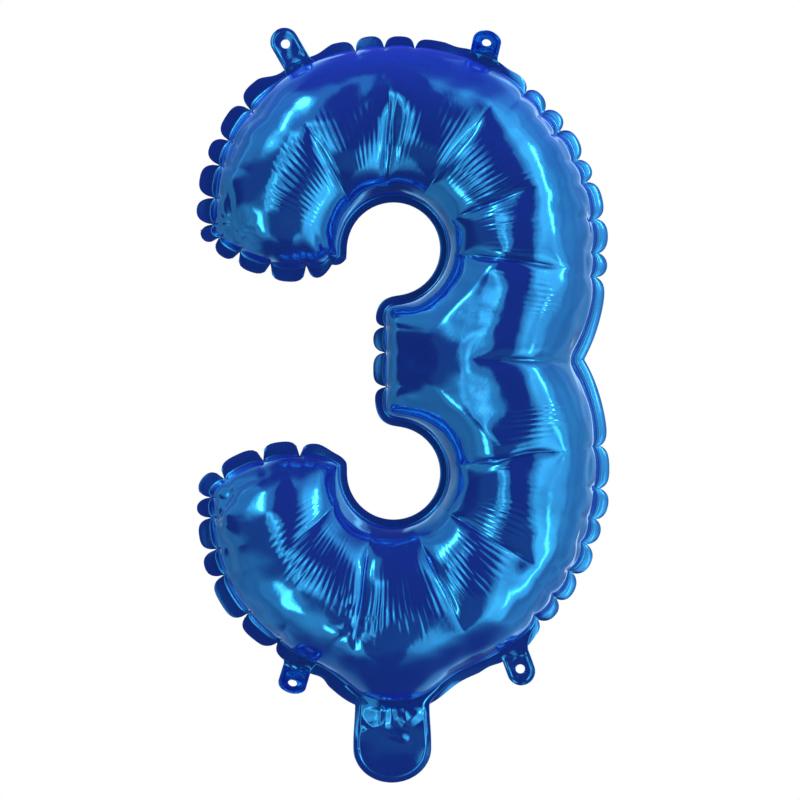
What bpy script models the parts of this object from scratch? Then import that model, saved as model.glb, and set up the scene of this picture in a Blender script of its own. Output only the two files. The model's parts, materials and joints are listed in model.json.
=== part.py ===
"""Foil number balloon in the shape of a 3: two welded film panels, four hang tabs, a filling tail
and the self-sealing valve inside its neck. Metres, +Z up, front towards -Y. The origin is midway
between the holes of the two top hang tabs, where the balloon is tied up."""

import math

import bpy
import numpy as np

# Driving dimensions of the digit. Angles go round a bay in degrees, from the arm's end over the
# outer side of the bowl to the waist, as on the upper bowl; the lower bowl is turned upside down.
BAY_X = 0.0042
UPPER_BAY_Z = -0.1112
LOWER_BAY_Z = -0.2330
BAY_RADIUS = 0.0296  # to the edge of the inflated body
UPPER_BOWL_RADIUS = 0.1122
LOWER_BOWL_RADIUS = 0.1132
WAIST_GROWTH = 0.03  # share by which a bowl widens towards the waist
SHOULDER_FLATTENING = 0.015  # share by which a bowl is lower above its bay than beside it
SHOULDER_FROM = 45.0
SHOULDER_TO = 85.0
ARM_NARROWING = 0.115  # share by which a bowl narrows towards the end of its arm
ARM_NARROWS_FROM = 130.0
ARM_NARROWS_TO = 190.0
ARM_INNER_ANGLE = 187.0
ARM_OUTER_ANGLE = 173.5
ARM_END_BULGE = 0.0130
ARM_END_FADE = 9  # columns over which the bulge dies away
NUB_CORNER = 0.0055
RADIAL_END_ANGLE = -10.0  # past this the cross lines fan out between the waist and the nub
RADIAL_SHARE = 0.80  # of a half's columns
ARM_END_CROWDING = 1.35
CORNER_SOFTNESS = 0.0030
PATH_STEP = 0.0005

# Inflation, film and weld
HALF_DEPTH = 0.0370  # of one panel at its fullest point
FILM = 0.0003
WELD_GAP = 0.0003
BAY_WELD = 0.0042
OUTER_WELD = 0.0060
TAB_WELD = 0.0026
TAB_WELD_SPREAD = 0.013
COLUMNS_PER_HALF = 31
ROWS = 10

# Neck, filling tail and valve
TAIL_X = 0.0035
NECK_REACH = 0.0125  # how far the lower bowl runs down into the neck
NECK_SPREAD = 13.5  # degrees
NECK_Z = -0.3598  # the fold line between neck and tail
NECK_FOLD_ROOM = 0.0010
TAIL_FOLD_ROOM = 0.0003
NECK_OPENING = 0.0005
NECK_OPENING_SPREAD = 0.016
TAIL_NECK_HALF_WIDTH = 0.0203
TAIL_HALF_WIDTH = 0.0212
TAIL_ROUND_Z = -0.3825
TAIL_END_Z = -0.4015
TAIL_ARC_POINTS = 17
VALVE_FILM = 0.0002
VALVE_HALF_WIDTH = 0.0105
VALVE_TOP_Z = -0.3180
VALVE_END_Z = -0.3790

# Hang tabs: name, x and z of the punched hole, lean from upright, tilt to the front, and the
# distance from the hole to the fold line at the tab's root
TABS = (
    ("hang_tab_top_left", -0.0545, 0.0003, -30.0, 0.0, 0.0118),
    ("hang_tab_top_right", 0.0545, -0.0003, 12.0, 52.0, 0.0083),
    ("hang_tab_bottom_left", -0.0501, -0.3454, -164.0, 58.0, 0.0128),
    ("hang_tab_bottom_right", 0.0731, -0.3395, 160.0, 0.0, 0.0080),
)
TAB_HALF_WIDTH = 0.0077
TAB_HOLE_INSET = 0.0013  # how much nearer the root the hole is than the middle of the round end
TAB_THICKNESS = 0.0006
TAB_HOLE_RADIUS = 0.0025
TAB_FOLD_ROOM = 0.0002
TAB_ARC_POINTS = 13

FOIL = (0.004, 0.060, 0.360)
TAB_FOIL = (0.006, 0.075, 0.400)
TAIL_FOIL = (0.004, 0.045, 0.300)
VALVE_TINT = (0.70, 0.74, 0.78)


def clear_scene():
    for item in list(bpy.data.objects):
        bpy.data.objects.remove(item, do_unlink=True)


def finish(name, colour, roughness, metallic):
    """A Principled material of one colour."""
    material = bpy.data.materials.new(name)
    material.use_nodes = True
    shader = material.node_tree.nodes["Principled BSDF"]
    shader.inputs["Base Color"].default_value = (*colour, 1.0)
    shader.inputs["Roughness"].default_value = roughness
    shader.inputs["Metallic"].default_value = metallic
    material.diffuse_color = (*colour, 1.0)
    return material


def arc(centre, radius, start, end, count):
    """Points of an arc, from one angle to another in degrees. The radius may vary along it."""
    angle = np.radians(np.linspace(start, end, count))
    return np.stack([centre[0] + radius * np.cos(angle), centre[1] + radius * np.sin(angle)], axis=1)


def run_lengths(path):
    """The distance run at each point of a path."""
    return np.concatenate([[0.0], np.cumsum(np.hypot(*np.diff(path, axis=0).T))])


def along(path, shares):
    """The points at the given shares of a path's length."""
    run = run_lengths(path)
    return np.stack([np.interp(np.asarray(shares) * run[-1], run, path[:, k]) for k in (0, 1)], axis=1)


def softened(path):
    """The path averaged over a short bell, which rounds its corners and keeps its ends."""
    even = along(path, np.linspace(0.0, 1.0, int(run_lengths(path)[-1] / PATH_STEP)))
    reach = int(3 * CORNER_SOFTNESS / PATH_STEP)
    bell = np.exp(-0.5 * (np.arange(-reach, reach + 1) * PATH_STEP / CORNER_SOFTNESS) ** 2)
    before = 2 * even[0] - even[reach:0:-1]
    after = 2 * even[-1] - even[-2 : -reach - 2 : -1]
    padded = np.concatenate([before, even, after])
    bell /= bell.sum()
    return np.stack([np.convolve(padded[:, k], bell, mode="valid") for k in (0, 1)], axis=1)


def smooth_step(value):
    value = np.clip(value, 0.0, 1.0)
    return value * value * (3.0 - 2.0 * value)


def bowl_edge(radius, neck_reach, to_middle):
    """The outer body edge of one bowl about its bay, from the arm's end to the waist, and the share of
    it that lies before the radial cross lines end."""
    waist_angle = -math.degrees(math.asin(to_middle / (radius * (1.0 + WAIST_GROWTH))))
    angle = np.linspace(ARM_OUTER_ANGLE, waist_angle, 400)
    narrowing = smooth_step((angle - ARM_NARROWS_FROM) / (ARM_NARROWS_TO - ARM_NARROWS_FROM))
    flattening = smooth_step((angle - SHOULDER_FROM) / (SHOULDER_TO - SHOULDER_FROM))
    growth = smooth_step(angle / waist_angle)
    neck = neck_reach * np.exp(-(np.abs((angle - 90.0) / NECK_SPREAD) ** 3))
    shape = 1.0 + WAIST_GROWTH * growth - SHOULDER_FLATTENING * flattening - ARM_NARROWING * narrowing
    reach = radius * shape + neck
    path = arc((0.0, 0.0), reach, ARM_OUTER_ANGLE, waist_angle, 400)
    run = run_lengths(path)
    return path, np.interp(-RADIAL_END_ANGLE, -angle, run) / run[-1]


def bay_edge(to_middle):
    """The inner body edge of one bowl: round its bay, round the corner of the nub and along the nub to
    the digit's middle, and the share of it that lies before the radial cross lines end."""
    bay = arc((0.0, 0.0), BAY_RADIUS, ARM_INNER_ANGLE, -90.0, 240)
    corner = arc((0.0, -BAY_RADIUS - NUB_CORNER), NUB_CORNER, 90.0, 180.0, 12)
    path = np.concatenate([bay[:-1], corner, [[-NUB_CORNER, -to_middle]]])
    radial = BAY_RADIUS * math.radians(ARM_INNER_ANGLE - RADIAL_END_ANGLE)
    return path, radial / run_lengths(path)[-1]


def body_edges():
    """The inner and outer body edges as matching points, from the upper arm's end to the lower's."""
    to_middle = (UPPER_BAY_Z - LOWER_BAY_Z) / 2.0
    column = np.linspace(0.0, 1.0, COLUMNS_PER_HALF + 1) ** ARM_END_CROWDING
    inner_path, inner_share = bay_edge(to_middle)
    halves = []
    for side, bay_z, radius, neck_reach in (
        (1.0, UPPER_BAY_Z, UPPER_BOWL_RADIUS, 0.0),
        (-1.0, LOWER_BAY_Z, LOWER_BOWL_RADIUS, NECK_REACH),
    ):
        outer_path, outer_share = bowl_edge(radius, neck_reach, to_middle)
        half = []
        for path, share in ((inner_path, inner_share), (outer_path, outer_share)):
            shares = np.interp(column, (0.0, RADIAL_SHARE, 1.0), (0.0, share, 1.0))
            half.append((path * (1.0, side) + (BAY_X, bay_z), shares))
        halves.append(half)
    edges = []
    for (upper, upper_shares), (lower, lower_shares) in zip(*halves):
        upper_length, lower_length = run_lengths(upper)[-1], run_lengths(lower)[-1]
        total = upper_length + lower_length
        shares = np.concatenate(
            [upper_shares * upper_length, total - lower_shares[-2::-1] * lower_length]
        ) / total
        edges.append(along(softened(np.concatenate([upper, lower[-2::-1]])), shares))
    return edges


def body_grid():
    """Flat points of the inflated body: columns along the digit, rows from the bays outwards."""
    inner, outer = body_edges()
    across = 0.5 - 0.5 * np.cos(np.linspace(0.0, math.pi, ROWS + 1))
    grid = inner[:, None] + (outer - inner)[:, None] * across[None, :, None]
    for end, step in ((0, 1), (-1, -1)):
        chord = outer[end] - inner[end]
        beyond = np.array([chord[1], -chord[0]]) * step / np.hypot(*chord)
        fade = (1.0 - np.arange(ARM_END_FADE) / ARM_END_FADE) ** 2
        bulge = ARM_END_BULGE * np.sin(math.pi * across) ** 0.6
        for column, share in enumerate(fade):
            grid[end + step * column] -= beyond * (share * bulge)[:, None]
    return grid


def grid_quads(index):
    corners = [index[:-1, :-1], index[1:, :-1], index[1:, 1:], index[:-1, 1:]]
    return np.stack(corners, axis=-1).reshape(-1, 4)


def pillow(grid):
    """Height of a film blown up over a flat outline, 1 at its fullest: the square root of u, where
    the Laplacian of u is -1 inside and u is 0 on the edge. Solved by conjugate gradients."""
    index = np.arange(grid.shape[0] * grid.shape[1]).reshape(grid.shape[:2])
    quads = grid_quads(index)
    corners = np.concatenate([quads[:, [0, 1, 2]], quads[:, [0, 2, 3]]])
    place = grid.reshape(-1, 2)[corners]
    size = index.size
    side = np.roll(place, -2, axis=1) - np.roll(place, -1, axis=1)
    area = 0.5 * np.abs(side[:, 0, 0] * side[:, 1, 1] - side[:, 0, 1] * side[:, 1, 0])
    load = np.bincount(corners.ravel(), np.repeat(area / 3.0, 3), size)
    corner = np.einsum("nkc,nkc->nk", np.roll(side, -1, axis=1), np.roll(side, -2, axis=1))
    pull = -corner / (4 * area[:, None])
    one, two = np.roll(corners, -1, axis=1).ravel(), np.roll(corners, -2, axis=1).ravel()
    pull = pull.ravel()
    free = np.zeros(grid.shape[:2])
    free[1:-1, 1:-1] = 1.0
    free = free.ravel()

    def stiffness(value):
        flow = pull * (value[one] - value[two])
        return (np.bincount(one, flow, size) - np.bincount(two, flow, size)) * free

    height, rest = np.zeros(size), load * free
    heading, left = rest.copy(), rest @ rest
    for _ in range(4 * max(grid.shape)):
        pushed = stiffness(heading)
        stride = left / (heading @ pushed)
        height += stride * heading
        rest -= stride * pushed
        heading = rest + (rest @ rest / left) * heading
        left = rest @ rest
    return np.sqrt(np.maximum(height, 0.0) / height.max()).reshape(grid.shape[:2])


def edge_loop(index):
    """The indices round a grid's edge, once."""
    return np.concatenate([index[0, :-1], index[:-1, -1], index[-1, :0:-1], index[:0:-1, 0]])


def tab_root(hole_x, hole_z, lean, tilt, reach):
    """Middle of a hang tab's fold line, seen from the front."""
    fall = reach * math.cos(math.radians(tilt))
    turn = math.radians(lean)
    return np.array([hole_x - fall * math.sin(turn), hole_z - fall * math.cos(turn)])


def weld_rim(loop):
    """The outer edge of the flat weld round the body's edge: narrow beside the hang tabs and round the
    bays, and cut straight along the neck's fold line."""
    run = np.roll(loop, -1, axis=0) - np.roll(loop, 1, axis=0)
    outward = np.stack([run[:, 1], -run[:, 0]], axis=1)
    outward = np.roll(outward, 1, axis=0) + 2 * outward + np.roll(outward, -1, axis=0)
    outward /= np.hypot(*outward.T)[:, None]
    turning = np.sum(loop[:, 0] * np.roll(loop[:, 1], -1) - loop[:, 1] * np.roll(loop[:, 0], -1))
    outward *= np.sign(turning)
    around_bay = [np.hypot(loop[:, 0] - BAY_X, loop[:, 1] - z) for z in (UPPER_BAY_Z, LOWER_BAY_Z)]
    outside = smooth_step((np.minimum(*around_bay) - 1.2 * BAY_RADIUS) / (0.5 * BAY_RADIUS))
    width = BAY_WELD + (OUTER_WELD - BAY_WELD) * outside
    for _, *tab in TABS:
        away = np.hypot(*(loop - tab_root(*tab)).T)
        width += (TAB_WELD - OUTER_WELD) * np.exp(-((away / TAB_WELD_SPREAD) ** 4)) * outside
    rim = loop + outward * width[:, None]
    rim[:, 1] = np.maximum(rim[:, 1], NECK_Z + NECK_FOLD_ROOM)
    return rim


def panel(name, front):
    """One film panel: the inflated body and the flat weld round it, as a shell of the film's
    thickness. front is -1 for the front panel and 1 for the back one."""
    grid = body_grid()
    index = np.arange(grid.shape[0] * grid.shape[1]).reshape(grid.shape[:2])
    loop = edge_loop(index)
    rim = weld_rim(grid.reshape(-1, 2)[loop])
    flat = np.concatenate([grid.reshape(-1, 2), rim])
    depth = np.concatenate([pillow(grid).ravel() * HALF_DEPTH, np.zeros(len(rim))])
    off_neck = (flat - (TAIL_X, NECK_Z)) / NECK_OPENING_SPREAD
    depth += WELD_GAP / 2.0 + NECK_OPENING * np.exp(-off_neck[:, 0] ** 4 - off_neck[:, 1] ** 2)
    points = np.stack([flat[:, 0], front * depth, flat[:, 1]], axis=1)
    rim_index = index.size + np.arange(len(rim))
    weld = np.stack([loop, np.roll(loop, -1), np.roll(rim_index, -1), rim_index], axis=1)
    quads = np.concatenate([grid_quads(index), weld])
    mesh = bpy.data.meshes.new(name)
    mesh.from_pydata(points.tolist(), [], quads.tolist())
    mesh.update()
    normals = np.array([polygon.normal[1] * polygon.area for polygon in mesh.polygons])
    if normals.sum() * front < 0:
        mesh.flip_normals()
    mesh.shade_smooth()
    item = bpy.data.objects.new(name, mesh)
    shell = item.modifiers.new("film", "SOLIDIFY")
    shell.thickness = FILM
    shell.offset = 1.0
    return item


def flat_piece(name, outlines, thickness):
    """A flat piece cut to closed outlines in its own XZ plane, with a middle plane at y = 0. The
    outlines after the first are holes."""
    curve = bpy.data.curves.new(name, "CURVE")
    curve.dimensions = "2D"
    curve.fill_mode = "BOTH"
    curve.extrude = thickness / 2.0
    for outline in outlines:
        spline = curve.splines.new("POLY")
        spline.points.add(len(outline) - 1)
        spline.points.foreach_set("co", [v for x, z in outline for v in (x, z, 0.0, 1.0)])
        spline.use_cyclic_u = True
    return bpy.data.objects.new(name, curve)


def upright(item):
    """Stands a flat curve up: its own XY plane becomes the world's XZ plane, facing the front."""
    item.rotation_euler = (math.radians(90.0), 0.0, 0.0)
    return item


def tab_outline(reach):
    """A tongue with a round end and a punched hole, standing on its fold line."""
    tongue = arc((0.0, reach + TAB_HOLE_INSET), TAB_HALF_WIDTH, 0.0, 180.0, TAB_ARC_POINTS)
    root = [[-TAB_HALF_WIDTH, TAB_FOLD_ROOM], [TAB_HALF_WIDTH, TAB_FOLD_ROOM]]
    hole = arc((0.0, reach), TAB_HOLE_RADIUS, 0.0, 360.0, 2 * TAB_ARC_POINTS - 1)[:-1]
    return [np.concatenate([tongue, root]), hole]


def tail_outline():
    """The filling tail from just under its fold line, at z = 0, down to its round end."""
    angle = np.radians(np.linspace(0.0, -180.0, TAIL_ARC_POINTS))
    across, down = TAIL_HALF_WIDTH * np.cos(angle), (TAIL_ROUND_Z - TAIL_END_Z) * np.sin(angle)
    end = np.stack([across, TAIL_ROUND_Z - NECK_Z + down], axis=1)
    neck = [[-TAIL_NECK_HALF_WIDTH, -TAIL_FOLD_ROOM], [TAIL_NECK_HALF_WIDTH, -TAIL_FOLD_ROOM]]
    return [np.concatenate([end, neck])]


def valve_outline(top, bottom):
    """A strip of valve film, with heights from the fold line."""
    width = VALVE_HALF_WIDTH
    return [np.array([[-width, top], [-width, bottom], [width, bottom], [width, top]])]


def fold_empty(name, place, lean, tilt):
    """An empty on a fold line, whose X axis is the line."""
    empty = bpy.data.objects.new(name, None)
    empty.empty_display_size = 0.01
    empty.location = place
    empty.rotation_euler = (math.radians(tilt), math.radians(lean), 0.0)
    return empty


def main():
    clear_scene()
    balloon = bpy.data.collections.new("foil_number_balloon")
    bpy.context.scene.collection.children.link(balloon)
    panel_foil = finish("panel_foil", FOIL, 0.12, 1.0)
    tab_foil = finish("tab_foil", TAB_FOIL, 0.16, 1.0)
    tail_foil = finish("tail_foil", TAIL_FOIL, 0.14, 1.0)
    valve_film = finish("valve_film", VALVE_TINT, 0.35, 0.0)

    for name, front in (("front_foil_panel", -1.0), ("back_foil_panel", 1.0)):
        item = panel(name, front)
        item.data.materials.append(panel_foil)
        balloon.objects.link(item)

    for name, *tab in TABS:
        x, z = tab_root(*tab)
        _, _, lean, tilt, reach = tab
        fold = fold_empty(f"{name}_fold", (x, 0.0, z), lean, tilt)
        balloon.objects.link(fold)
        item = upright(flat_piece(name, tab_outline(reach), TAB_THICKNESS))
        item.parent = fold
        item.data.materials.append(tab_foil)
        balloon.objects.link(item)

    tail_fold = fold_empty("tail_fold", (TAIL_X, 0.0, NECK_Z), 0.0, 0.0)
    balloon.objects.link(tail_fold)
    valve_below = valve_outline(-TAIL_FOLD_ROOM, VALVE_END_Z - NECK_Z)
    valve_above = valve_outline(VALVE_TOP_Z - NECK_Z, NECK_FOLD_ROOM)
    valve_gap = (WELD_GAP + VALVE_FILM) / 2.0
    ply_gap = (WELD_GAP + FILM) / 2.0 + NECK_OPENING
    for word, front in (("front", -1.0), ("back", 1.0)):
        ply = flat_piece(f"tail_{word}_ply", tail_outline(), FILM)
        lower = flat_piece(f"valve_{word}_film_lower", valve_below, VALVE_FILM)
        upper = flat_piece(f"valve_{word}_film_upper", valve_above, VALVE_FILM)
        for item, gap, material in (
            (ply, ply_gap, tail_foil),
            (lower, valve_gap, valve_film),
            (upper, valve_gap, valve_film),
        ):
            upright(item).location = (0.0, front * gap, 0.0)
            item.data.materials.append(material)
            balloon.objects.link(item)
        ply.parent = lower.parent = tail_fold
        upper.location = (TAIL_X, front * valve_gap, NECK_Z)


main()
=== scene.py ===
"""Looks of a foil number balloon in the shape of a 3: two blown-up film panels with gathered weld
margins, creases and ripples, four hang tabs that fold at their roots, a filling tail of two plies
over a clear valve, and the studio around it. Metres, +Z up, front towards -Y."""

import json
import logging
import math
from dataclasses import dataclass, field
from enum import Enum
from typing import Any, Sequence

import bpy
import numpy as np
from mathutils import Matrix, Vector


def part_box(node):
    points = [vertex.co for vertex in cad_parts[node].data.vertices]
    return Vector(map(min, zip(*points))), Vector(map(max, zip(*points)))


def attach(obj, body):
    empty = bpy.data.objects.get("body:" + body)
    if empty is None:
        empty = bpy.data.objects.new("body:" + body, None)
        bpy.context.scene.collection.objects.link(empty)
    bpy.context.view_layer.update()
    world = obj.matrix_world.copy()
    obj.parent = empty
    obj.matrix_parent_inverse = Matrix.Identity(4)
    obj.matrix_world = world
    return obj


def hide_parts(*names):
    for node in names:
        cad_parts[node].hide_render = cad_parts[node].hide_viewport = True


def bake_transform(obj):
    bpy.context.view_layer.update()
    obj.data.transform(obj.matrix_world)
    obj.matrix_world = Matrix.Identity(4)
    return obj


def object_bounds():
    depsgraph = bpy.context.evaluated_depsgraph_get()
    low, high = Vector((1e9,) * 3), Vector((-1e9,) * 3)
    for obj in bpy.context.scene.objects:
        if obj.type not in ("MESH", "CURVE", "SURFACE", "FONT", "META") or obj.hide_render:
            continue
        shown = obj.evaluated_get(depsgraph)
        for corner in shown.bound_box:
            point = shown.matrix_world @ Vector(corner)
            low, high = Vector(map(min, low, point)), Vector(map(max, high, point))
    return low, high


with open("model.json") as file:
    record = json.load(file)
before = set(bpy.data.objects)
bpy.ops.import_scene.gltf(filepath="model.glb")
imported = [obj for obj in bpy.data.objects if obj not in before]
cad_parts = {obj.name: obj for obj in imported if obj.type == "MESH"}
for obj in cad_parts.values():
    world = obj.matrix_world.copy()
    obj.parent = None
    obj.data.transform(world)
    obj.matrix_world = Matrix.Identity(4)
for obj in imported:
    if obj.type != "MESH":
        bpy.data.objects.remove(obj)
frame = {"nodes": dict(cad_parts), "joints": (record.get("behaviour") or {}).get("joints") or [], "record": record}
CAD_LOW, CAD_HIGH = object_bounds()

LOG = logging.getLogger("foil_balloon")
MM = 0.001
Array = np.ndarray


class Side(Enum):
    """Which of the two film panels or plies a piece is."""

    FRONT = -1.0
    BACK = 1.0


class Pattern(Enum):
    """What a finish's pattern follows."""

    OBJECT = "Object"
    SURFACE = "UV"


# ---------------------------------------------------------------- curves, grids and noise


def smooth_step(value: Array, start: float = 0.0, stop: float = 1.0) -> Array:
    """A smooth rise from 0 at start to 1 at stop: 3s^2 - 2s^3 of the clipped share s.

    Args:
        value: Where it is read.
        start: Where the rise starts.
        stop: Where it ends.

    Returns:
        The rise, 0 to 1.
    """
    share = np.clip((value - start) / (stop - start), 0.0, 1.0)
    return share * share * (3.0 - 2.0 * share)


def soft_abs(value: Array, blur: float) -> Array:
    """The absolute value with its corner rounded over blur."""
    return np.sqrt(value * value + blur * blur) - blur


def arc(centre: Sequence[float], radius: Any, start: float, end: float, count: int) -> Array:
    """Points of an arc: centre + radius (cos a, sin a), with a running from start to end.

    Args:
        centre: The arc's centre.
        radius: One radius, or one for each point.
        start: First angle in degrees.
        end: Last angle in degrees.
        count: How many points.

    Returns:
        The points, one row each.
    """
    angle = np.radians(np.linspace(start, end, count))
    return np.stack([centre[0] + radius * np.cos(angle), centre[1] + radius * np.sin(angle)], axis=1)


def run_lengths(path: Array) -> Array:
    """The distance run at each point of a path."""
    steps = np.linalg.norm(np.diff(path, axis=0), axis=-1)
    return np.concatenate([np.zeros_like(steps[:1]), np.cumsum(steps, axis=0)])


def along(path: Array, shares: Array) -> Array:
    """The points at the given shares of a path's length."""
    run = run_lengths(path)
    return np.stack([np.interp(shares * run[-1], run, path[:, k]) for k in range(path.shape[1])], axis=1)


def softened(path: Array, softness: float, step: float = 0.5 * MM) -> Array:
    """The path averaged over a short bell, which rounds its corners and keeps its ends.

    Args:
        path: The points, one row each.
        softness: The bell's standard deviation.
        step: Spacing of the result's points.

    Returns:
        Evenly spaced points of the softened path.
    """
    even = along(path, np.linspace(0.0, 1.0, int(run_lengths(path)[-1] / step)))
    reach = int(3 * softness / step)
    bell = np.exp(-0.5 * (np.arange(-reach, reach + 1) * step / softness) ** 2)
    before = 2 * even[0] - even[reach:0:-1]
    after = 2 * even[-1] - even[-2 : -reach - 2 : -1]
    padded = np.concatenate([before, even, after])
    bell /= bell.sum()
    return np.stack([np.convolve(padded[:, k], bell, mode="valid") for k in (0, 1)], axis=1)


def ring_average(value: Array, run: Array, length: float, spread: float) -> Array:
    """Values round a closed loop, averaged over a bell of arc length.

    Args:
        value: One row for each point of the loop.
        run: The arc length at each point.
        length: The whole loop's length.
        spread: The bell's standard deviation.

    Returns:
        The averaged values at the same points.
    """
    count = int(length / (0.5 * MM))
    even = np.linspace(0.0, length, count, endpoint=False)
    wave = np.fft.rfftfreq(count, length / count)
    damp = np.exp(-2.0 * (math.pi * wave * spread) ** 2)
    rows = []
    for column in value.T:
        read = np.interp(even, np.append(run, length), np.append(column, column[0]))
        calm = np.fft.irfft(np.fft.rfft(read) * damp, count)
        rows.append(np.interp(run, np.append(even, length), np.append(calm, calm[0])))
    return np.stack(rows, axis=1)


def smooth_noise(points: Array, wavelength: float, seed: int, waves: int = 18) -> Array:
    """Smooth noise of unit spread: a sum of sine waves in random directions, whose lengths lie
    between 0.7 and 1.5 times the wavelength.

    Args:
        points: Where it is read, one row of coordinates each.
        wavelength: The noise's scale.
        seed: Seed of the random draws.
        waves: How many sine waves are summed.

    Returns:
        One value for each point.
    """
    draw = np.random.default_rng(seed)
    heading = draw.normal(size=(waves, points.shape[-1]))
    heading /= np.linalg.norm(heading, axis=1)[:, None]
    heading *= 2.0 * math.pi / (wavelength * draw.uniform(0.7, 1.5, waves))[:, None]
    phase = draw.uniform(0.0, 2.0 * math.pi, waves)
    total = np.zeros(points.shape[:-1])
    for wave, start in zip(heading, phase):
        total += np.sin(points @ wave + start)
    return total * math.sqrt(2.0 / waves)


def grid_quads(index: Array) -> Array:
    """The quads of a grid of vertex indices, one row of four corners each."""
    corners = [index[:-1, :-1], index[1:, :-1], index[1:, 1:], index[:-1, 1:]]
    return np.stack(corners, axis=-1).reshape(-1, 4)


def stretched(values: Array, shape: tuple[int, int]) -> Array:
    """A grid of values read linearly on a finer grid that spans the same square."""
    for axis in (0, 1):
        place = np.linspace(0.0, values.shape[axis] - 1.0, shape[axis])
        low = np.minimum(place.astype(int), values.shape[axis] - 2)
        share = (place - low)[:, None] if axis == 0 else (place - low)[None, :]
        lower, upper = values.take(low, axis), values.take(low + 1, axis)
        values = lower + (upper - lower) * share
    return values


def surface_normals(points: Array, towards: float) -> Array:
    """Unit normals of a grid of points, turned so that they mostly point towards that side.

    Args:
        points: The grid, with three coordinates last.
        towards: -1 for normals to the front, 1 for normals to the back.

    Returns:
        The normals, in the grid's own shape.
    """
    across = np.cross(np.gradient(points, axis=0), np.gradient(points, axis=1))
    across /= np.maximum(np.linalg.norm(across, axis=-1), 1e-12)[..., None]
    return across * np.sign(across[..., 1].sum() * towards)


class Pillow:
    """Height of a film blown up over a flat outline."""

    def __init__(self, grid: Array, start: Array | None = None) -> None:
        """Sets up the film's stiffness on a grid of flat points.

        Args:
            grid: Flat points, columns first.
            start: A first guess of the solution, in the grid's shape.
        """
        self.shape = grid.shape[:2]
        self.start = np.zeros(self.shape) if start is None else start
        quads = grid_quads(np.arange(self.shape[0] * self.shape[1]).reshape(self.shape))
        corners = np.concatenate([quads[:, [0, 1, 2]], quads[:, [0, 2, 3]]])
        place = grid.reshape(-1, 2)[corners]
        side = np.roll(place, -2, axis=1) - np.roll(place, -1, axis=1)
        area = 0.5 * np.abs(side[:, 0, 0] * side[:, 1, 1] - side[:, 0, 1] * side[:, 1, 0])
        area = np.maximum(area, 1e-14)
        self.load = np.bincount(corners.ravel(), np.repeat(area / 3.0, 3), self.start.size)
        corner = np.einsum("nkc,nkc->nk", np.roll(side, -1, axis=1), np.roll(side, -2, axis=1))
        self.pull = (-corner / (4 * area[:, None])).ravel()
        self.one, self.two = np.roll(corners, -1, axis=1).ravel(), np.roll(corners, -2, axis=1).ravel()
        free = np.zeros(self.shape)
        free[1:-1, 1:-1] = 1.0
        self.free = free.ravel()

    def stiffness(self, value: Array) -> Array:
        """The Laplacian's cotangent sum of a value at each free point."""
        flow = self.pull * (value[self.one] - value[self.two])
        size = value.size
        return (np.bincount(self.one, flow, size) - np.bincount(self.two, flow, size)) * self.free

    def solve(self, rounds: int) -> Array:
        """Solves Laplacian u = -1 with u = 0 on the edge by conjugate gradients, scaled by the
        diagonal.

        Args:
            rounds: How many steps are taken.

        Returns:
            u in the grid's shape.
        """
        weight = np.bincount(self.one, self.pull, self.start.size)
        weight += np.bincount(self.two, self.pull, self.start.size)
        ease = self.free / np.maximum(weight, 1e-9)
        height = (self.start.ravel() * self.free).copy()
        rest = self.load * self.free - self.stiffness(height)
        eased = ease * rest
        heading, left = eased.copy(), rest @ eased
        for _ in range(rounds):
            pushed = self.stiffness(heading)
            stride = left / (heading @ pushed)
            height += stride * heading
            rest -= stride * pushed
            eased = ease * rest
            turned = rest @ eased
            heading = eased + (turned / left) * heading
            left = turned
        return height.reshape(self.shape)


def quad_areas(points: Array, quads: Array) -> Array:
    """Area vector of each quad: half the cross product of its diagonals."""
    diagonals = points[quads[:, 2]] - points[quads[:, 0]], points[quads[:, 3]] - points[quads[:, 1]]
    return 0.5 * np.cross(*diagonals)


def turned_alike(points: Array, quads: Array, first: int) -> Array:
    """The quads, with those past the first ones turned to face the same side as the first ones."""
    facing = quad_areas(points, quads)[:, 1]
    if facing[:first].sum() * facing[first:].sum() < 0:
        quads = np.concatenate([quads[:first], quads[first:, ::-1]])
    return quads


def film_area(points: Array, quads: Array) -> float:
    """Area of the film that the quads cover."""
    return float(np.linalg.norm(quad_areas(points, quads), axis=1).sum())


def film_mesh(
    name: str,
    points: Array,
    quads: Array,
    facing: Sequence[float],
    surface: Array,
    marks: dict[str, Array] | None = None,
) -> bpy.types.Object:
    """Puts points and quads into a smooth-shaded object whose faces point outwards.

    Args:
        name: The piece's name.
        points: Vertices in metres.
        quads: Four vertex indices a row.
        facing: The side to which most of the faces have to point.
        surface: Surface coordinates of each vertex in metres, which become the UV map.
        marks: Values of named point attributes.

    Returns:
        The new object, linked to the scene.
    """
    if (quad_areas(points, quads) @ np.asarray(facing, float)).sum() < 0:
        quads = quads[:, ::-1]
    mesh = bpy.data.meshes.new(name)
    mesh.from_pydata(points.tolist(), [], quads.tolist())
    mesh.update()
    mesh.polygons.foreach_set("use_smooth", np.ones(len(quads), bool))
    layer = mesh.uv_layers.new(name="surface")
    layer.data.foreach_set("uv", surface[quads.ravel()].astype(np.float32).ravel())
    for mark, values in (marks or {}).items():
        attribute = mesh.attributes.new(mark, "FLOAT", "POINT")
        attribute.data.foreach_set("value", values.astype(np.float32))
    item = bpy.data.objects.new(name, mesh)
    bpy.context.scene.collection.objects.link(item)
    return item


# ---------------------------------------------------------------- shader expressions


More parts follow.
